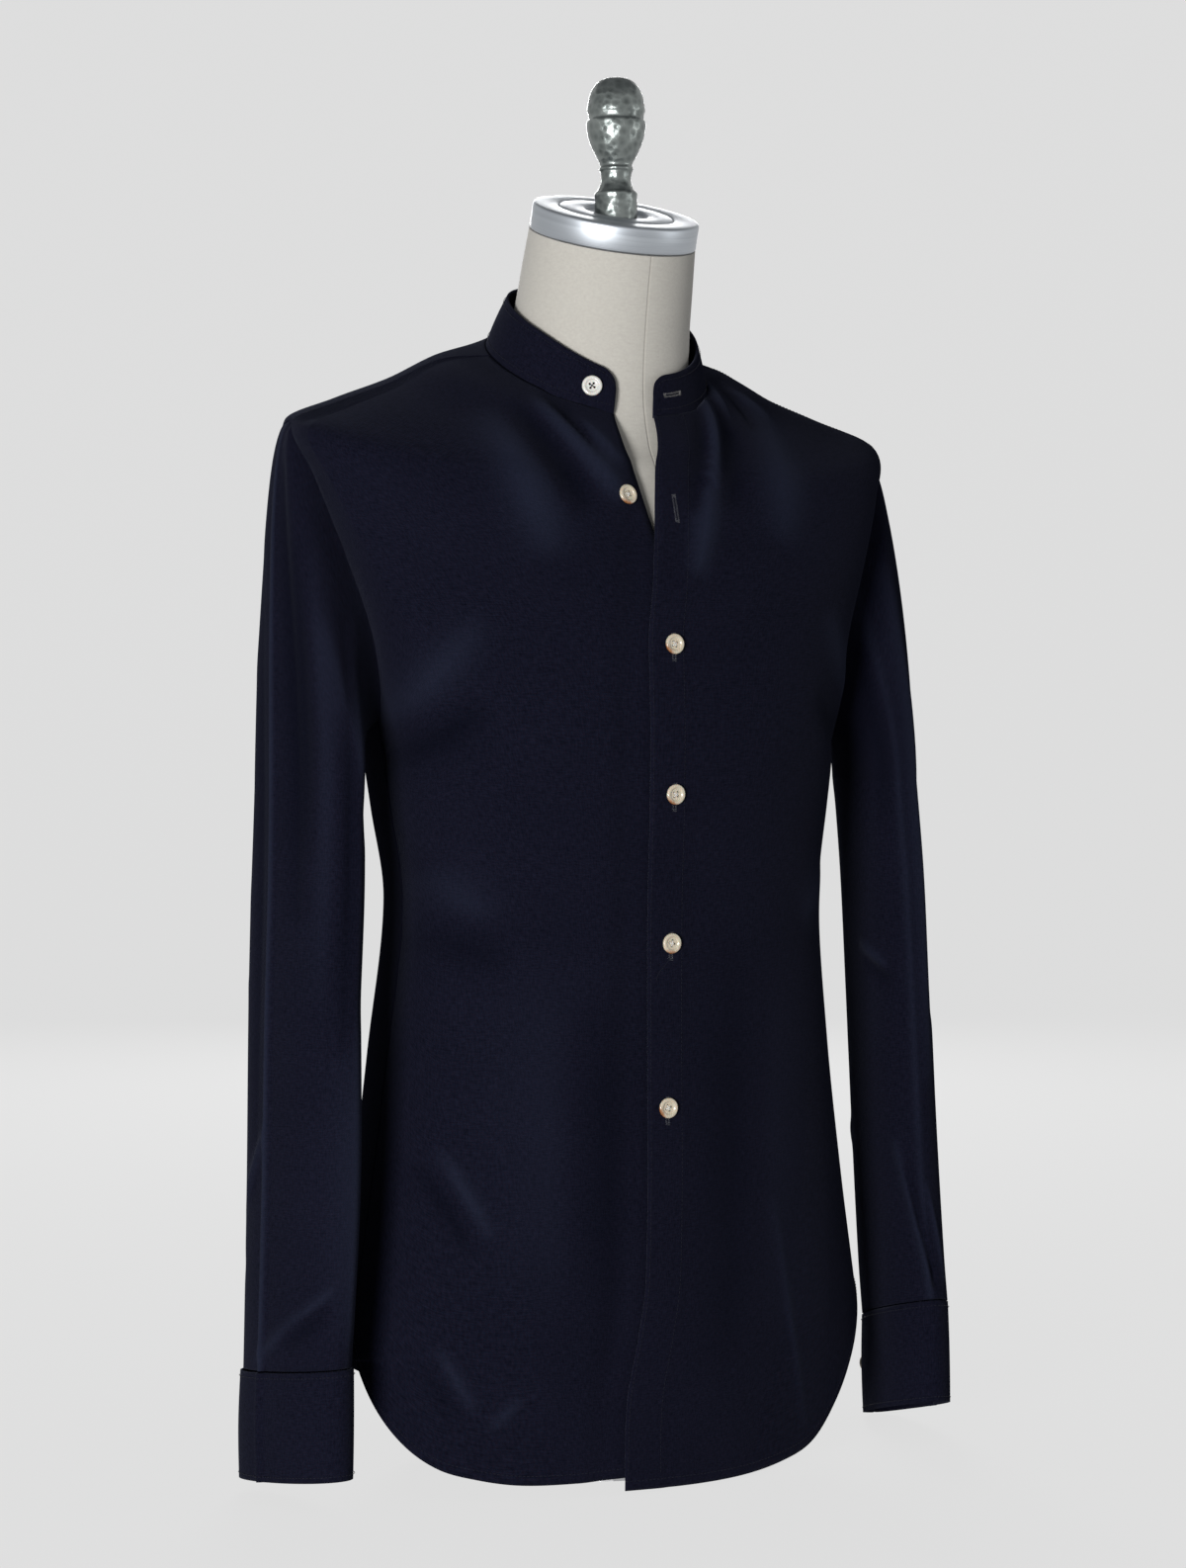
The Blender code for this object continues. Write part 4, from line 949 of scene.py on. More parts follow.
# x columns are degrees round the sleeve: 0 outside, 90 in front, 180 under, 270 behind.
SLEEVE_FOLDS = {-1: [
    Fold(108, 0.300, 106, 0.120, 0.0200, 0.0036),
    Fold(112, 0.520, 110, 0.450, 0.0160, 0.0030),
    Fold(72, 0.144, 28, 0.122, 0.0032, 0.0025),
    Fold(30, 0.123, -18, 0.088, 0.0034, 0.0022),
    Fold(66, 0.130, 20, 0.106, 0.0048, -0.0026),
    Fold(-10, 0.236, -40, 0.190, 0.0045, 0.0031),
    Fold(60, 0.560, 96, 0.470, 0.0120, 0.0027),
    Fold(110, 0.540, 128, 0.430, 0.0110, -0.0031),
    Fold(14, 0.660, 20, 0.380, 0.0080, -0.0042),
    Fold(52, 0.600, 48, 0.330, 0.0110, 0.0014),
    Fold(32, 0.610, 30, 0.420, 0.0070, -0.0026),
    Fold(84, 0.560, 78, 0.300, 0.0110, -0.0034),
    Fold(-26, 0.600, -24, 0.200, 0.0080, -0.0024),
    Fold(250, 0.560, 236, 0.440, 0.0120, 0.0037),
    Fold(300, 0.520, 286, 0.400, 0.0120, -0.0031),
    Fold(290, 0.330, 250, 0.290, 0.0070, 0.0027),
    Fold(230, 0.230, 290, 0.180, 0.0060, 0.0027),
    Fold(300, 0.150, 240, 0.120, 0.0060, -0.0031),
], 1: [
    Fold(134, 0.206, 93, 0.100, 0.0038, 0.0034),
    Fold(122, 0.190, 80, 0.092, 0.0046, -0.0030),
    Fold(91, 0.178, 66, 0.112, 0.0034, 0.0027),
    Fold(167, 0.342, 134, 0.328, 0.0035, 0.0031),
    Fold(160, 0.330, 128, 0.316, 0.0045, -0.0024),
    Fold(112, 0.540, 128, 0.430, 0.0100, -0.0027),
    Fold(40, 0.640, 48, 0.300, 0.0090, -0.0042),
    Fold(66, 0.600, 72, 0.260, 0.0100, 0.0034),
    Fold(250, 0.560, 238, 0.450, 0.0120, 0.0031),
    Fold(296, 0.510, 280, 0.390, 0.0130, -0.0024),
    Fold(286, 0.300, 240, 0.262, 0.0070, 0.0027),
    Fold(226, 0.210, 284, 0.166, 0.0060, 0.0027),
]}


def tube_at(rows, level, lift_share=1.0):
    tubes = np.array(smooth(rows[::-1], level))
    tubes[..., 6] *= lift_share
    return tubes


def mirror_piece(points, side):
    """The wearer's right is the left one mirrored, with its faces turned back outward."""
    return points if side > 0 else (points * np.array((-1.0, 1.0, 1.0)))[:, ::-1]


def tube_point(tubes, angle, out=0.0, ridge=0.0):
    level, x, y, half_width, half_depth, twist, lift = np.moveaxis(tubes, -1, 0)
    across = np.cos(np.radians(angle)) * (half_width + out)
    across = across + ridge * np.exp(-(wrap(angle - CREASE_ANGLE) / CREASE_SPREAD) ** 2)
    forward = np.sin(np.radians(angle)) * (half_depth + out)
    swing = np.radians(-twist)
    return np.stack((x + across * np.cos(swing) + forward * np.sin(swing),
                     y + across * np.sin(swing) - forward * np.cos(swing),
                     level + forward * lift), axis=-1)


ARMHOLE_MIDDLE = body_point(SIDE_TURN, (ARMPIT_LEVEL + TIP_LEVEL) / 2)
HEAD_TUCK = 0.0012         # the sleeve starts this far under the body's edge
HEAD_SINK = 0.0003
SHOULDER_REACH = (0.006, 0.009)     # how far it leaves outward: everywhere, and more on top
HEAD_FALL = (0.42, 0.10, 0.14)      # share of the drop at its lower end: plain, top, front


def head_direction(angle, top):
    """The way the sleeve leaves the armhole: up a little below, and down over the top."""
    return unit(np.stack((np.ones_like(top), -0.10 * np.sin(np.radians(angle)),
                          0.30 - 0.80 * top), axis=-1))


def head_point(angle, share, out=0.0, ridge=0.0):
    """A cubic curve from the armhole, share 0, to the tube's first ring."""
    angle, share, out = np.broadcast_arrays(angle, share, out)
    top = (1 + np.cos(np.radians(angle))) / 2
    forward = np.maximum(np.sin(np.radians(angle)), 0.0)
    leave = head_direction(angle, top)
    first = body_point(*np.moveaxis(armhole((180 - angle) % 360), -1, 0))
    away = first - ARMHOLE_MIDDLE
    away = unit(away - leave * np.sum(away * leave, axis=-1, keepdims=True))
    tucked = out - HEAD_SINK * (1 - eased(share, 0.0, 0.06))
    first = first - leave * HEAD_TUCK + away * tucked[..., None]
    last = tube_point(np.broadcast_to(np.array(SLEEVE[0], float), top.shape + (7,)), angle, out,
                      ridge)
    second = first + leave * (SHOULDER_REACH[0] + SHOULDER_REACH[1] * top)[..., None]
    fall = HEAD_FALL[0] + HEAD_FALL[1] * top - HEAD_FALL[2] * forward
    drop = (first[..., 2] - last[..., 2]) * fall
    third = last + drop[..., None] * np.array((0.0, 0.0, 1.0))
    share = share[..., None]
    rest = 1 - share
    return (first * rest ** 3 + second * 3 * rest * rest * share
            + third * 3 * rest * share * share + last * share ** 3)


def sleeve_folds(side, angle, z):
    """A sleeve's folds, each drawn on the cloth laid flat round its own middle."""
    total = np.zeros(np.shape(z))
    for fold in SLEEVE_FOLDS[side]:
        middle = (fold.x1 + fold.x2) / 2
        flat = fold._replace(x1=(fold.x1 - middle) * DEGREE, x2=(fold.x2 - middle) * DEGREE)
        total += fold_height([flat], wrap(angle - middle) * DEGREE + np.zeros(np.shape(z)), z)
    return total


def build_sleeve(side):
    angles = 180.0 - np.arange(SLEEVE_SIDES) * 360.0 / SLEEVE_SIDES
    bottom = SLEEVE[-1].level + 0.0003
    level = bottom + (SLEEVE[0].level - bottom) * np.arange(TUBE_RINGS) / TUBE_RINGS
    share = 1 - np.arange(HEAD_RINGS + 1) / HEAD_RINGS
    tubes = tube_at(SLEEVE, level, LIFT_SHARE[side])[:, None, :]
    tubes = np.broadcast_to(tubes, (TUBE_RINGS, SLEEVE_SIDES, 7))

    def rows(out_tube, out_head):
        return np.concatenate((tube_point(tubes, angles[None, :], out_tube, CREASE),
                               head_point(angles[None, :], share[:, None], out_head, CREASE)))

    plain = rows(np.zeros((TUBE_RINGS, SLEEVE_SIDES)), np.zeros((HEAD_RINGS + 1, SLEEVE_SIDES)))
    out = sleeve_folds(side, angles[None, :], plain[..., 2])
    out = out + FRONT_CREASE[side] * np.exp(-(wrap(angles - FRONT_CREASE_ANGLE) / 7.0) ** 2)
    gather = GATHER * np.cos(np.radians(angles) * 22.0) * (np.cos(np.radians(angles)) > 0)
    at_seam = np.exp(-(share / GATHER_REACH) ** 2) * eased(share, 0.0, 0.03)
    free = eased(share, 0.04, 0.35)[:, None]
    near_cuff = eased(level, bottom, bottom + 0.020)[:, None]
    points = rows(out[:TUBE_RINGS] * near_cuff,
                  out[TUBE_RINGS:] * free + gather * at_seam[:, None])
    # Painted light and shade for the material: the fold heights, and a painted highlight along the
    # outer crease.
    painted_fold_light = FOLD_LIGHT_HEIGHT * np.exp(-(wrap(angles - CREASE_ANGLE) / 2.0) ** 2)
    folds = 0.6 * out + CREASE_HIGHLIGHT * painted_fold_light
    name = SIDE_NAME[side]
    sew_piece(f"cloth_sleeve_{name}", mirror_piece(points, side), f"sleeve_{name}",
              closed=True,
              folds=folds[:, ::side])


for side in (-1, 1):
    build_sleeve(side)

# ---- cuffs and sleeve plackets --------------------------------------------------------------
# Stiff double cuffs with rounded corners, wrapped round until they overlap at the back, where
# a strip of the same cloth binds the slit of the sleeve.
CUFF = [
    Tube(0.0855, 0.2300, -0.015, 0.0232, 0.0546, 11.0, 0.22),
    Tube(0.0500, 0.2306, -0.015, 0.0233, 0.0549, 11.0, 0.22),
    Tube(0.0160, 0.2310, -0.016, 0.0233, 0.0550, 11.0, 0.22),
]
CUFF_START = -110.0
CUFF_OVERLAP = 24.0
CUFF_COLUMNS = 150
CUFF_ROWS = 26
CUFF_WALL = 0.0018
CUFF_LAYER = 0.0026
CUFF_CORNER = 0.010
CUFF_ROUND = 0.27
SLIT_ANGLE = 262.0
SLIT_SPREAD = 9.0
SLIT_LENGTH = 0.130
STRIP_OUT = 0.0016
CUFF_SWELL = 0.0006
CUFF_WAVE = 0.0005


def cuff_point(share, height, side, out=0.0):
    """share runs round the cuff, height from its lower edge, 0, to the sleeve, 1."""
    share, height = np.broadcast_arrays(np.asarray(share, float), np.asarray(height, float))
    angle = CUFF_START + (360 + CUFF_OVERLAP) * share
    bottom = CUFF[-1].level + corner_drop(share, CUFF_ROUND, CUFF_CORNER)
    level = bottom + (CUFF[0].level - bottom) * height
    out = out + CUFF_LAYER * eased(share, 0.86, 0.925)
    return tube_point(tube_at(CUFF, level, LIFT_SHARE[side]), angle, out, CREASE)


def build_cuff(side):
    name = SIDE_NAME[side]
    share = np.linspace(1, 0, CUFF_COLUMNS + 1)[None, :]
    height = np.linspace(0, 1, CUFF_ROWS + 1)[:, None]
    swell = (CUFF_SWELL * np.sin(np.pi * height)
             + CUFF_WAVE * np.sin(share * 17.0) * (1 - height))
    sew_piece(f"cloth_cuff_{name}", mirror_piece(cuff_point(share, height, side, swell), side),
              f"cuff_{name}",
              wall=CUFF_WALL)
    rows = np.linspace(0, 1, 40)[:, None]
    level = SLEEVE[-1].level + 0.001 + SLIT_LENGTH * rows
    narrow = 1.0 - 0.65 * eased(rows, 0.93, 1.0)
    angle = SLIT_ANGLE + SLIT_SPREAD * np.linspace(1, -1, 12)[None, :] * narrow
    tubes = tube_at(SLEEVE, np.broadcast_to(level, angle.shape), LIFT_SHARE[side])
    sew_piece(f"cloth_sleeve_placket_{name}",
              mirror_piece(tube_point(tubes, angle, STRIP_OUT), side),
              f"sleeve_placket_{name}")


for side in (-1, 1):
    build_cuff(side)

# ---- stitching ------------------------------------------------------------------------------
# Rows of fine lockstitch in navy thread, a few millimetres in from the hems, the placket, the
# band and the cuffs, and beside the yoke seams. Each stitch sinks at its two ends.


def geometry_tree(name, inputs):
    """A tree with its named inputs, and the curve that its path becomes."""
    group = bpy.data.node_groups.new(name, "GeometryNodeTree")
    socket(group, "Geometry", "Geometry")
    socket(group, "Geometry", "Geometry", "OUTPUT")
    for label, (kind, value) in inputs.items():
        socket(group, label, kind, value=value)
    start = group.nodes.new("NodeGroupInput").outputs
    curve = add_node(group, "GeometryNodeMeshToCurve", {0: start["Geometry"]}).outputs[0]
    return group, start, curve


def finish_tree(group, start, last):
    """Ends a tree: the instances become a mesh with its own material."""
    real = add_node(group, "GeometryNodeRealizeInstances", {0: last}).outputs[0]
    paint = add_node(group, "GeometryNodeSetMaterial",
                     {"Geometry": real, "Material": start["Thread"]})
    add_node(group, "NodeGroupOutput", {0: paint.outputs[0]})


def build_stitch_tree():
    group, start, curve = geometry_tree("lockstitch", {
        "Stitch Pitch": ("Float", 0.0027), "Stitch Length": ("Float", 0.0021),
        "Thread Width": ("Float", 0.00045), "Unevenness": ("Float", 0.12), "Seed": ("Int", 7),
        "Thread": ("Material", None)})
    points = add_node(group, "GeometryNodeCurveToPoints",
                      {"Curve": curve, "Length": start["Stitch Pitch"]}, mode="LENGTH").outputs
    turn = add_node(group, "FunctionNodeAlignRotationToVector",
                    {"Vector": points["Tangent"]}, axis="Z").outputs[0]
    bead = add_node(group, "GeometryNodeMeshUVSphere",
                    {"Segments": 6, "Rings": 5, "Radius": 0.5}).outputs[0]
    round_bead = add_node(group, "GeometryNodeSetShadeSmooth", {0: bead}).outputs[0]
    varied = add_node(group, "FunctionNodeRandomValue",
                      {2: 0.0, 3: start["Unevenness"], "Seed": start["Seed"]}).outputs[1]
    length = maths(group, "MULTIPLY", start["Stitch Length"],
                   maths(group, "SUBTRACT", 1.0, varied))
    size = add_node(group, "ShaderNodeCombineXYZ", {
        0: start["Thread Width"], 1: start["Thread Width"], 2: length}).outputs[0]
    placed = add_node(group, "GeometryNodeInstanceOnPoints", {
        "Points": points["Points"], "Instance": round_bead, "Rotation": turn, "Scale": size})
    finish_tree(group, start, placed.outputs[0])
    return group


def build_thread_tree():
    group, start, curve = geometry_tree("laid_thread", {
        "Thread Width": ("Float", 0.0004), "Sides": ("Int", 6), "Thread": ("Material", None)})
    circle = add_node(group, "GeometryNodeCurvePrimitiveCircle", {
        "Resolution": start["Sides"],
        "Radius": maths(group, "MULTIPLY", start["Thread Width"], 0.5)}).outputs[0]
    swept = add_node(group, "GeometryNodeCurveToMesh", {
        "Curve": curve, "Profile Curve": circle, "Fill Caps": True})
    finish_tree(group, start, swept.outputs[0])
    return group


stitch_tree = build_stitch_tree()
thread_tree = build_thread_tree()


def plain_mesh(thing):
    """An object's shape with its modifiers worked in."""
    bpy.context.view_layer.update()
    ready = thing.evaluated_get(bpy.context.evaluated_depsgraph_get())
    return bpy.data.meshes.new_from_object(ready)


def path_mesh(name, paths):
    mesh = bpy.data.meshes.new(name)
    points, edges = [], []
    for path in paths:
        first = len(points)
        points.extend(tuple(float(c) for c in point) for point in path)
        edges.extend((first + i, first + i + 1) for i in range(len(path) - 1))
    mesh.from_pydata(points, edges, [])
    return mesh


def grown(name, paths, tree, inputs, material):
    """Runs a tree over paths and keeps its result as a plain mesh."""
    source = place_object(name + "_path", path_mesh(name + "_path", paths))
    modifier = source.modifiers.new("grow", "NODES")
    modifier.node_group = tree
    sockets = {item.name: item.identifier for item in tree.interface.items_tree
               if item.in_out == "INPUT"}
    for label, value in {**inputs, "Thread": material}.items():
        modifier[sockets[label]] = value
    mesh = plain_mesh(source)
    mesh.name = name
    bpy.data.objects.remove(source, do_unlink=True)
    mesh.materials.clear()
    piece = add_piece(name, mesh, material)
    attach(piece, "root")


def thread_material(name, colour, sheen):
    """Spun thread: a fine twist along it, a little lighter and darker."""
    material, tree, shader = new_material(name, colour, 0.7)
    place = add_node(tree, "ShaderNodeTexCoord").outputs["Object"]
    fibre = noise(tree, place, 2600.0, 2.0, (1.0, 1.0, 0.5))
    dark = tuple(c * 0.6 for c in colour)
    light = tuple(min(c * 1.35, 0.9) for c in colour)
    set_inputs(tree, shader, {"Base Color": mix_colour(tree, fibre, dark, light),
                              "Specular IOR Level": 0.1, "Sheen Weight": sheen})
    bump(tree, shader, fibre, 0.5, 0.0001)
    return material


navy_thread = thread_material("navy_thread", (0.0050, 0.0056, 0.0115), 0.02)
STITCH_IN = 0.0062         # hem stitches in from the edge
EDGE_STITCH = 0.0035       # placket, band and cuff stitches in from the edge
STITCH_OUT = 0.00012       # how far the thread's middle stands off the cloth
YOKE_STITCH = 0.0035
HEM_SPAN = (0.004, 0.996)  # shares of a hem between which its stitches run


def hem_path(side):
    share = np.linspace(*HEM_SPAN, 160)
    level = column_at(HEM, side, share) + STITCH_IN
    first = edge_turn(side, level)
    turn = first + (side * SIDE_TURN - first) * share
    return front_point(side, turn, level, HEM_STEP + STITCH_OUT)


def placket_path(inset):
    level = np.linspace(0.014, NECK_LEVEL - 0.004, 260)
    start = ring_point(edge_turn(1, level), smooth(SHIRT_RINGS, level))[:, 0]
    return front_point(1, turn_at(start + inset, level), level, STITCH_OUT)


def back_hem_path():
    share = np.linspace(*HEM_SPAN, 320)
    first = SIDE_TURN + SIDE_SEAM
    turn = first + (360 - 2 * first) * share
    return body_point(turn, back_hem(share) + STITCH_IN, HEM_STEP + STITCH_OUT)


def yoke_paths():
    turn = np.linspace(104.0, 256.0, 200)
    lines = [body_point(turn, yoke_back_level(turn) + YOKE_STITCH, STITCH_OUT)]
    inner = np.array((YOKE_NECK_TURN + 1.6, NECK_LEVEL - 0.004))
    line = between(inner, armhole(YOKE_FRONT_ANGLE + 3.0), np.linspace(0.05, 0.95, 90))
    for side in (1, -1):
        lines.append(body_point(side * line[:, 0], line[:, 1], STITCH_OUT))
    return lines


def band_edge_paths():
    turn, top = (row[3:-3] for row in band_places(BAND_COLUMNS))
    return [band_point(turn, top - EDGE_STITCH, 0.0008 + STITCH_OUT),
            band_point(turn, np.full(top.shape, EDGE_STITCH), 0.0008)]


def cuff_paths(side):
    share = np.linspace(0.012, 0.988, 200)
    inset = EDGE_STITCH / (CUFF[0].level - CUFF[-1].level)
    return [cuff_point(share, height, side, 0.0006) * np.array((side, 1.0, 1.0))
            for height in (inset, 1 - inset)]


stitch_paths = [hem_path(-1), hem_path(1), back_hem_path(), placket_path(PLACKET_WIDTH - 0.0025),
                placket_path(0.0022)]
stitch_paths += yoke_paths() + band_edge_paths() + cuff_paths(1) + cuff_paths(-1)
grown("shirt_stitches", stitch_paths, stitch_tree,
      {"Stitch Pitch": 0.0027, "Stitch Length": 0.0022, "Thread Width": 0.00046,
       "Unevenness": 0.15, "Seed": 7}, navy_thread)

# ---- buttonholes ----------------------------------------------------------------------------
# Worked in dense zigzag thread round a slit: upright ones down the left front's placket and a
# level one at the band's left end. The open ones show, the others lie under their buttons.
HOLE_LENGTH = 0.0155
BAND_HOLE_LENGTH = 0.0125
HOLE_WIDTH = 0.0030
HOLE_PITCH = 0.00055
SLIT_HALF = 0.0004
BAR_PITCH = 0.00022
grey_thread = thread_material("buttonhole_thread", (0.050, 0.052, 0.062), 0.2)
light_thread = thread_material("band_buttonhole_thread", (0.16, 0.155, 0.15), 0.2)


def work_hole(place, length):
    """Zigzag up one side of a slit and down the other, and a bar across each end."""
    count = int(length / HOLE_PITCH)
    steps = list(range(count + 1))
    lines = [[(sign * (HOLE_WIDTH / 2 if k % 2 else SLIT_HALF), -length / 2 + length * k / count)
              for sign, run in ((1.0, steps), (-1.0, steps[::-1])) for k in run]]
    for end in (-1, 1):
        lines.append([((-1) ** k * HOLE_WIDTH / 2, end * (length / 2 + BAR_PITCH * k))
                      for k in range(7)])
    return [place(*np.array(line).T) for line in lines]


def level_at(x, z):
    """The level whose surface in front, at this x, has height z."""
    low = np.zeros(np.shape(x + z))
    return halve(low, low + NECK_LEVEL, 18,
                 lambda level: body_point(turn_at(x, level), level)[..., 2] < z)


def placket_hole(x, z):
    def place(across, along):
        level = level_at(x + across, z + along)
        return front_point(1, turn_at(x + across, level), level, 0.00015, drape=False)
    return work_hole(place, HOLE_LENGTH)


# Level and sideways place of each front button, from the top one, which is undone.
BUTTON_LEVELS = ((0.690, -0.0285), (0.549, -0.005), (0.451, -0.005), (0.355, -0.005),
                 (0.249, -0.008))
OPEN_HOLE = (0.0045, 0.6345)
HOLE_DROP = 0.002          # a fastened button pulls to the top of its hole
hole_paths = placket_hole(*OPEN_HOLE)
for level, x in BUTTON_LEVELS[1:]:
    height = float(body_point(turn_at(x, level), level)[2])
    hole_paths += placket_hole(x, height - HOLE_DROP)
grown("buttonholes", hole_paths, thread_tree, {"Thread Width": 0.00036, "Sides": 6}, grey_thread)
BAND_HOLE_TURN = 17.0
BAND_HOLE_RISE = 0.0125
BAND_RADIUS = 0.067


def band_hole(across, along):
    return band_point(BAND_HOLE_TURN + np.degrees(along / BAND_RADIUS), BAND_HOLE_RISE + across,
                      0.0009)


grown("band_buttonhole", work_hole(band_hole, BAND_HOLE_LENGTH), thread_tree,
      {"Thread Width": 0.00034, "Sides": 6}, light_thread)

# ---- buttons --------------------------------------------------------------------------------
# Four-hole shirt buttons cut from shell: a rounded rim round a sunk face, cream, with a warm
# brown skin left on part of the rim. Each is sewn on with thread crossed through its holes.
BUTTON_RADIUS = 0.0066
BUTTON_HEIGHT = 0.0026
BUTTON_FACE = 0.62
HOLE_RADIUS = 0.00072
HOLE_PLACE = 0.0013
BUTTON_PROFILE = [
    (0.0, BUTTON_FACE), (0.50, BUTTON_FACE), (0.57, 0.66), (0.62, 0.80), (0.66, 0.92),
    (0.72, 0.99), (0.79, 1.00), (0.86, 0.985), (0.925, 0.93), (0.970, 0.82), (0.995, 0.68),
    (1.0, 0.55), (0.985, 0.38), (0.94, 0.20), (0.86, 0.06), (0.74, 0.0), (0.0, 0.0),
]
HOLE_SPOTS = ((1, 1), (-1, 1), (-1, -1), (1, -1))


def button_blank():
    profile = [(radius * BUTTON_RADIUS, height * BUTTON_HEIGHT)
               for radius, height in BUTTON_PROFILE]
    blank = place_object("blank", turned_mesh("blank", profile, 64))
    drill = bmesh.new()
    for right, up in HOLE_SPOTS:
        bmesh.ops.create_cone(
            drill, cap_ends=True, segments=16, radius1=HOLE_RADIUS, radius2=HOLE_RADIUS * 1.15,
            depth=BUTTON_HEIGHT * 2,
            matrix=Matrix.Translation((right * HOLE_PLACE, up * HOLE_PLACE, BUTTON_HEIGHT / 2)))
    drills = place_object("drill", bpy.data.meshes.new("drill"))
    drill.to_mesh(drills.data)
    drill.free()
    cut = blank.modifiers.new("holes", "BOOLEAN")
    cut.operation = "DIFFERENCE"
    cut.solver = "EXACT"
    cut.object = drills
    mesh = plain_mesh(blank)
    for thing in (blank, drills):
        bpy.data.objects.remove(thing, do_unlink=True)
    face = mesh.uv_layers.new(name="face")
    for loop in mesh.loops:
        spot = mesh.vertices[loop.vertex_index].co
        face.data[loop.index].uv = (spot.x / BUTTON_RADIUS, spot.y / BUTTON_RADIUS)
    mesh.materials.clear()
    mesh.shade_smooth()
    mesh.set_sharp_from_angle(angle=math.radians(45))
    return mesh


def shell_material(name, pale, warm, skin, amount):
    """Shell in faint growth bands, with its brown skin on the lower part of the rim."""
    material, tree, shader = new_material(name, pale, 0.28)
    face = add_node(tree, "ShaderNodeUVMap", uv_map="face").outputs[0]
    bands = add_node(tree, "ShaderNodeTexWave", {
        "Scale": 1.6, "Distortion": 3.0, "Detail": 2.0, "Vector": face}).outputs["Fac"]
    parts = add_node(tree, "ShaderNodeSeparateXYZ", {0: face}).outputs
    lower = maths(tree, "MULTIPLY_ADD", parts["X"], -0.62,
                  maths(tree, "MULTIPLY", parts["Y"], -0.78))
    uneven = maths(tree, "MULTIPLY_ADD", noise(tree, face, 3.0, 2.0), 0.5, -0.25)
    edge = add_node(tree, "ShaderNodeMapRange", {
        "From Min": 0.52, "From Max": 0.95, "To Max": amount,
        "Value": maths(tree, "ADD", lower, uneven)}, interpolation_type="SMOOTHSTEP")
    colour = mix_colour(tree, maths(tree, "MULTIPLY", bands, 0.6), pale, warm)
    set_inputs(tree, shader, {
        "Base Color": mix_colour(tree, edge.outputs["Result"], colour, skin),
        "Coat Weight": 0.35, "Coat Roughness": 0.12, "Subsurface Weight": 0.15,
        "Subsurface Scale": 0.002})
    bump(tree, shader, bands, 0.15, 0.00005)
    return material


shell = shell_material("cream_shell", (0.47, 0.42, 0.33), (0.36, 0.30, 0.20),
                       (0.21, 0.080, 0.022), 1.0)
white_shell = shell_material("white_shell", (0.55, 0.54, 0.51), (0.46, 0.45, 0.41),
                             (0.33, 0.27, 0.19), 0.35)
white_thread = thread_material("white_thread", (0.56, 0.55, 0.53), 0.05)
blank_button = button_blank()


def stand_on(foot, normal, up):
    """The place of a button on a surface, its Z along the normal and Y towards up."""
    normal = Vector(normal).normalized()
    across = Vector(up).cross(normal).normalized()
    turned = Matrix((across, normal.cross(across), normal)).transposed().to_4x4()
    return Matrix.Translation(Vector(foot)) @ turned


CROSSED_HOLES = ((0, 2, 0.00052), (1, 3, 0.00030))    # from, to and how high each arch is
STRAND_SHIFT = 0.00017
THREAD_SINK = 0.0008


def cross_threads(place):
    """Two strands crossed through the four holes, each a low arch."""
    paths = []
    for first, last, lift in CROSSED_HOLES:
        for shift in (-STRAND_SHIFT, STRAND_SHIFT):
            path = []
            for k in range(13):
                right, up = (a * (1 - k / 12) + b * k / 12
                             for a, b in zip(HOLE_SPOTS[first], HOLE_SPOTS[last]))
                height = (BUTTON_FACE * BUTTON_HEIGHT - THREAD_SINK
                          + (THREAD_SINK + lift) * math.sin(math.pi * k / 12) ** 0.5)
                path.append(place @ Vector((right * HOLE_PLACE + shift * up,
                                            up * HOLE_PLACE - shift * right, height)))
            paths.append(path)
    return paths


def sew_button(name, place, turn_degrees, material, thread):
    place = place @ Matrix.Rotation(math.radians(turn_degrees), 4, "Z")
    mesh = blank_button.copy()
    mesh.transform(place)
    fit(add_piece(f"shell_{name}", mesh, material), name)
    grown(f"thread_{name}", cross_threads(place), thread_tree,
          {"Thread Width": 0.00042, "Sides": 6}, thread)


def surface_place(point_at, turn, height, out):
    """Place on a surface given by a turn and a height, by its slopes along each."""
    foot = point_at(turn, height, out)
    normal = np.cross(point_at(turn + 0.5, height, out) - foot,
                      point_at(turn, height + 0.002, out) - foot)
    return stand_on(foot, normal, (0.0, 0.0, 1.0))


BUTTON_TURNS = (20, -12, 8, 35, -25)
for number, ((level, x), spin) in enumerate(zip(BUTTON_LEVELS, BUTTON_TURNS), start=1):
    side = -1 if number == 1 else 1

    def on_front(turn, height, out, side=side):
        return front_point(side, turn, height, out, drape=False)

    sew_button(f"button_front_{number}",
               surface_place(on_front, float(turn_at(x, level)), level, 0.0003), spin, shell,
               white_thread)

COLLAR_BUTTON_TURN = -31.0
COLLAR_BUTTON_RISE = 0.0125
sew_button("button_collar", surface_place(band_point, COLLAR_BUTTON_TURN, COLLAR_BUTTON_RISE,
                                          0.0008), 10, white_shell, navy_thread)

CUFF_BUTTON_HEIGHT = 0.51
CUFF_BUTTON_SHARE = 1 - 15.0 / (360 + CUFF_OVERLAP)
for side in (-1, 1):
    foot, outer = (cuff_point(CUFF_BUTTON_SHARE, CUFF_BUTTON_HEIGHT, side, out)
                   * np.array((side, 1.0, 1.0)) for out in (0.0008, 0.0028))
    sew_button(f"button_cuff_{SIDE_NAME[side]}", stand_on(foot, outer - foot, (0.0, 0.0, 1.0)),
               15, shell, white_thread)

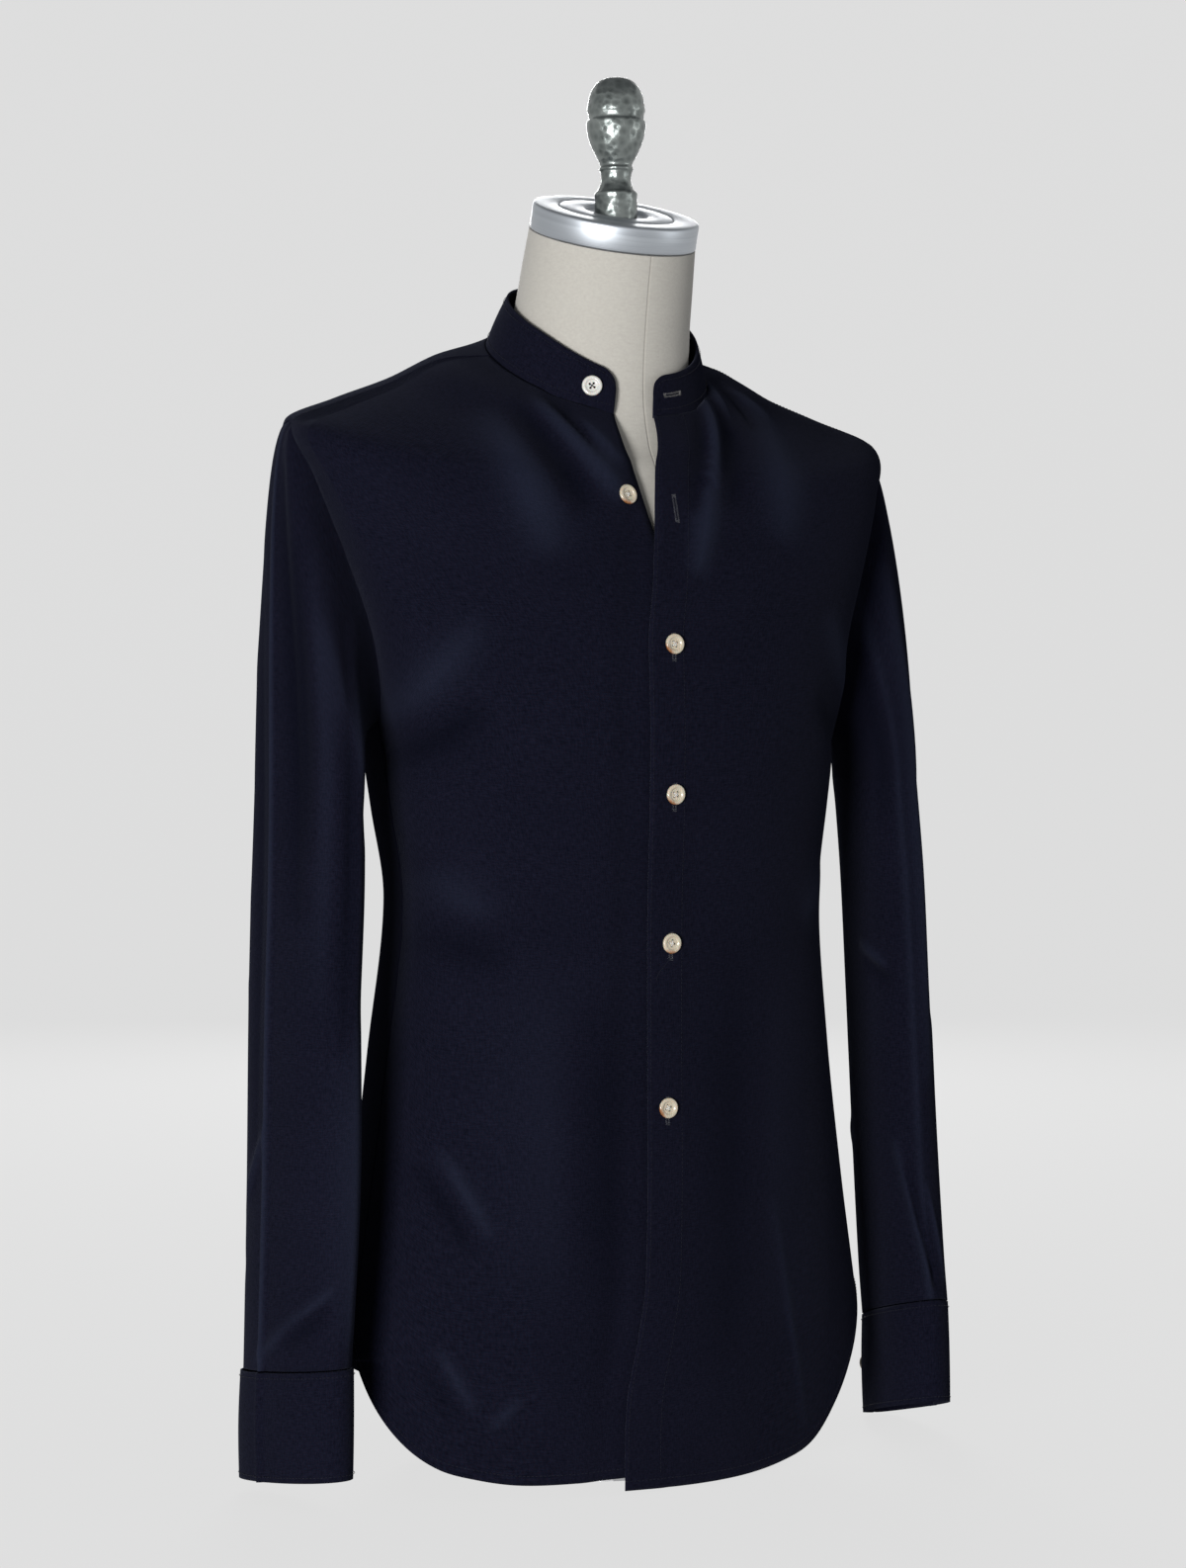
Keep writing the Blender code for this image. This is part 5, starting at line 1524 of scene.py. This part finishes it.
# ---- loose thread ---------------------------------------------------------------------------
# A dark end of sewing thread left hanging by the third button, lying on the cloth in a curl.
LOOSE_TOP = (-0.0044, 0.348)
LOOSE_RUN = (-0.0122, -0.017)
curl = []
for k in range(25):
    share = k / 24
    x = LOOSE_TOP[0] + LOOSE_RUN[0] * share + 0.0012 * math.sin(share * 7.0)
    z = LOOSE_TOP[1] + LOOSE_RUN[1] * share + 0.0010 * math.sin(share * 5.0 + 1.0)
    curl.append(body_point(turn_at(x, z), z, 0.0008))
grown("loose_thread", [curl], thread_tree, {"Thread Width": 0.00035, "Sides": 6}, navy_thread)

# ---- neck cap and finial --------------------------------------------------------------------
# A turned aluminium disc closes the neck, brushed round and round, with a fine groove near its
# rim and a shallow recess in the middle, where a cast knob with a hammered face is screwed in.
CAP_RADIUS = 0.0555
CAP_HEIGHT = 0.0175
RECESS = 0.0018
NECK_TILT = math.radians(17.8)
top_ring = NECK_RINGS[-1]
cap_axis = Vector((0.0, -math.sin(NECK_TILT), math.cos(NECK_TILT)))
cap_foot = Vector((0.0, top_ring.middle, (top_ring.front_z + top_ring.back_z) / 2))
cap_foot += cap_axis * 0.0006
cap_place = Matrix.Translation(cap_foot) @ Matrix.Rotation(NECK_TILT, 4, "X")
CAP_PROFILE = [(0.0, CAP_HEIGHT - RECESS)]
CAP_PROFILE += [(radius, CAP_HEIGHT - drop) for radius, drop in (
    (0.0196, RECESS), (0.0204, 0.0016), (0.0214, 0.0003), (0.0220, 0.0), (0.0372, 0.0),
    (0.0378, 0.0004), (0.0385, 0.0012), (0.0392, 0.0004), (0.0400, 0.0))]
CAP_PROFILE += [(CAP_RADIUS - inset, height) for inset, height in (
    (0.0022, CAP_HEIGHT), (0.0010, CAP_HEIGHT - 0.0003), (0.0003, CAP_HEIGHT - 0.0010),
    (0.0, CAP_HEIGHT - 0.0022), (0.0, 0.0012), (0.0004, 0.0004), (0.0012, 0.0))]
CAP_PROFILE.append((0.0, 0.0))


def build_turning():
    """Fine rings left by a lathe or a brush: height for the bump, a streak for the colour."""
    group = bpy.data.node_groups.new("turning_marks", "ShaderNodeTree")
    socket(group, "Place", "Vector")
    socket(group, "Mark Size", "Float", value=0.0004)
    socket(group, "Height", "Float", "OUTPUT")
    socket(group, "Streak", "Float", "OUTPUT")
    start = group.nodes.new("NodeGroupInput").outputs
    parts = add_node(group, "ShaderNodeSeparateXYZ", {0: start["Place"]}).outputs
    x, y, z = (parts[axis] for axis in "XYZ")
    radius = maths(group, "SQRT", maths(group, "ADD", maths(group, "MULTIPLY", x, x),
                                        maths(group, "MULTIPLY", y, y)))
    drawn = add_node(group, "ShaderNodeCombineXYZ", {
        0: maths(group, "DIVIDE", radius, start["Mark Size"]),
        1: maths(group, "DIVIDE", z, start["Mark Size"]),
        2: maths(group, "COSINE", maths(group, "ARCTAN2", y, x))}).outputs[0]
    fine = noise(group, drawn, 1.0, 3.0)
    broad = noise(group, drawn, 0.16, 2.0)
    add_node(group, "NodeGroupOutput", {
        "Height": fine,
        "Streak": maths(group, "MULTIPLY", maths(group, "ADD", fine, broad), 0.5)})
    return group


turning_group = build_turning()


def turned_metal(name, dark, light, roughness, mark, place=None):
    """Brushed metal; place is the Matrix of a piece that doesn't stand upright."""
    material, tree, shader = new_material(name, light, roughness, 1.0)
    spot = add_node(tree, "ShaderNodeTexCoord").outputs["Object"]
    if place is not None:
        spot = add_node(tree, "ShaderNodeMapping", {
            "Location": place.to_translation(), "Rotation": place.to_euler(), "Vector": spot},
            vector_type="TEXTURE").outputs[0]
    marks = add_node(tree, "ShaderNodeGroup", {"Mark Size": mark, "Place": spot},
                     node_tree=turning_group).outputs
    set_inputs(tree, shader, {
        "Base Color": mix_colour(tree, marks["Streak"], dark, light),
        "Roughness": maths(tree, "MULTIPLY_ADD", marks["Streak"], 0.16, roughness - 0.08)})
    bump(tree, shader, marks["Height"], 0.35, 0.00012)
    return material


aluminium = turned_metal("brushed_aluminium", (0.24, 0.26, 0.29), (0.52, 0.55, 0.58), 0.42,
                         0.0005, cap_place)
neck_cap = add_piece("brushed_neck_cap", turned_mesh("brushed_neck_cap", CAP_PROFILE, 128,
                                                     cap_place), aluminium)
neck_cap.data.set_sharp_from_angle(angle=math.radians(35))
fit(neck_cap, "neck_cap")

FINIAL_HEIGHT = 0.0900
FINIAL_FOOT = 0.0140
Knob = namedtuple("Knob", "row radius height")
FINIAL = [
    (0.0000, 1.000), (0.0085, 0.985), (0.0140, 0.940), (0.0174, 0.870), (0.0188, 0.800),
    (0.0192, 0.755), (0.0184, 0.725), (0.0184, 0.695), (0.0196, 0.665), (0.0192, 0.600),
    (0.0170, 0.510), (0.0128, 0.410), (0.0106, 0.360), (0.0114, 0.330), (0.0104, 0.300),
    (0.0100, 0.240), (0.0120, 0.180), (0.0142, 0.150), (FINIAL_FOOT, 0.110),
    (FINIAL_FOOT, 0.050), (FINIAL_FOOT, -0.080),
]
FINIAL_STEPS = 140


def hammered_metal(name, dark, light):
    """Cast metal with a hammered face: small facets, dull hollows, brighter edges."""
    material, tree, shader = new_material(name, light, 0.3, 1.0)
    spot = add_node(tree, "ShaderNodeTexCoord").outputs["Object"]
    facets = add_node(tree, "ShaderNodeTexVoronoi", {"Vector": spot}, feature="SMOOTH_F1")
    set_inputs(tree, facets, {"Scale": 210.0, "Smoothness": 0.35})
    depth = facets.outputs["Distance"]
    grain = noise(tree, spot, 900.0, 3.0)
    tone = maths(tree, "MULTIPLY", maths(tree, "ADD", depth, noise(tree, spot, 70.0, 3.0)), 0.6)
    set_inputs(tree, shader, {
        "Base Color": mix_colour(tree, tone, dark, light),
        "Roughness": maths(tree, "MULTIPLY_ADD", grain, 0.25, 0.20)})
    bump(tree, shader, maths(tree, "MULTIPLY_ADD", grain, 0.12, depth), 0.55, 0.0010)
    return material


def build_finial():
    table = [Knob(row, radius, share * FINIAL_HEIGHT) for row, (radius, share) in enumerate(FINIAL)]
    fine = smooth(table, np.linspace(0, len(FINIAL) - 2, FINIAL_STEPS))
    profile = [(0.0, FINIAL_HEIGHT)] + [(float(r), float(h)) for _, r, h in fine[1:]]
    profile.append((FINIAL_FOOT, FINIAL[-1][1] * FINIAL_HEIGHT))
    foot = cap_place @ Vector((0.0, 0.0, CAP_HEIGHT - RECESS))
    mesh = turned_mesh("hammered_finial", profile, 64, Matrix.Translation(foot))
    seat = foot + cap_axis * 0.0002
    for vert in mesh.vertices:
        offset = vert.co - seat
        level = seat.z - (cap_axis.x * offset.x + cap_axis.y * offset.y) / cap_axis.z
        vert.co.z = max(vert.co.z, level)
    return mesh


hammered = hammered_metal("hammered_grey_metal", (0.045, 0.055, 0.055), (0.27, 0.295, 0.285))
fit(add_piece("hammered_finial", build_finial(), hammered), "finial")

# ---- column and foot plate ------------------------------------------------------------------
# A plain steel column and a round plate carry the form. The hem hides them from the front; they
# are brushed and clear-lacquered, and keep the shapes they were made with.
steel = turned_metal("brushed_steel", (0.30, 0.30, 0.31), (0.52, 0.52, 0.53), 0.34, 0.0006)
for node in ("stand_column", "stand_foot"):
    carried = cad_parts[node]
    carried.data.materials.clear()
    carried.data.materials.append(steel)
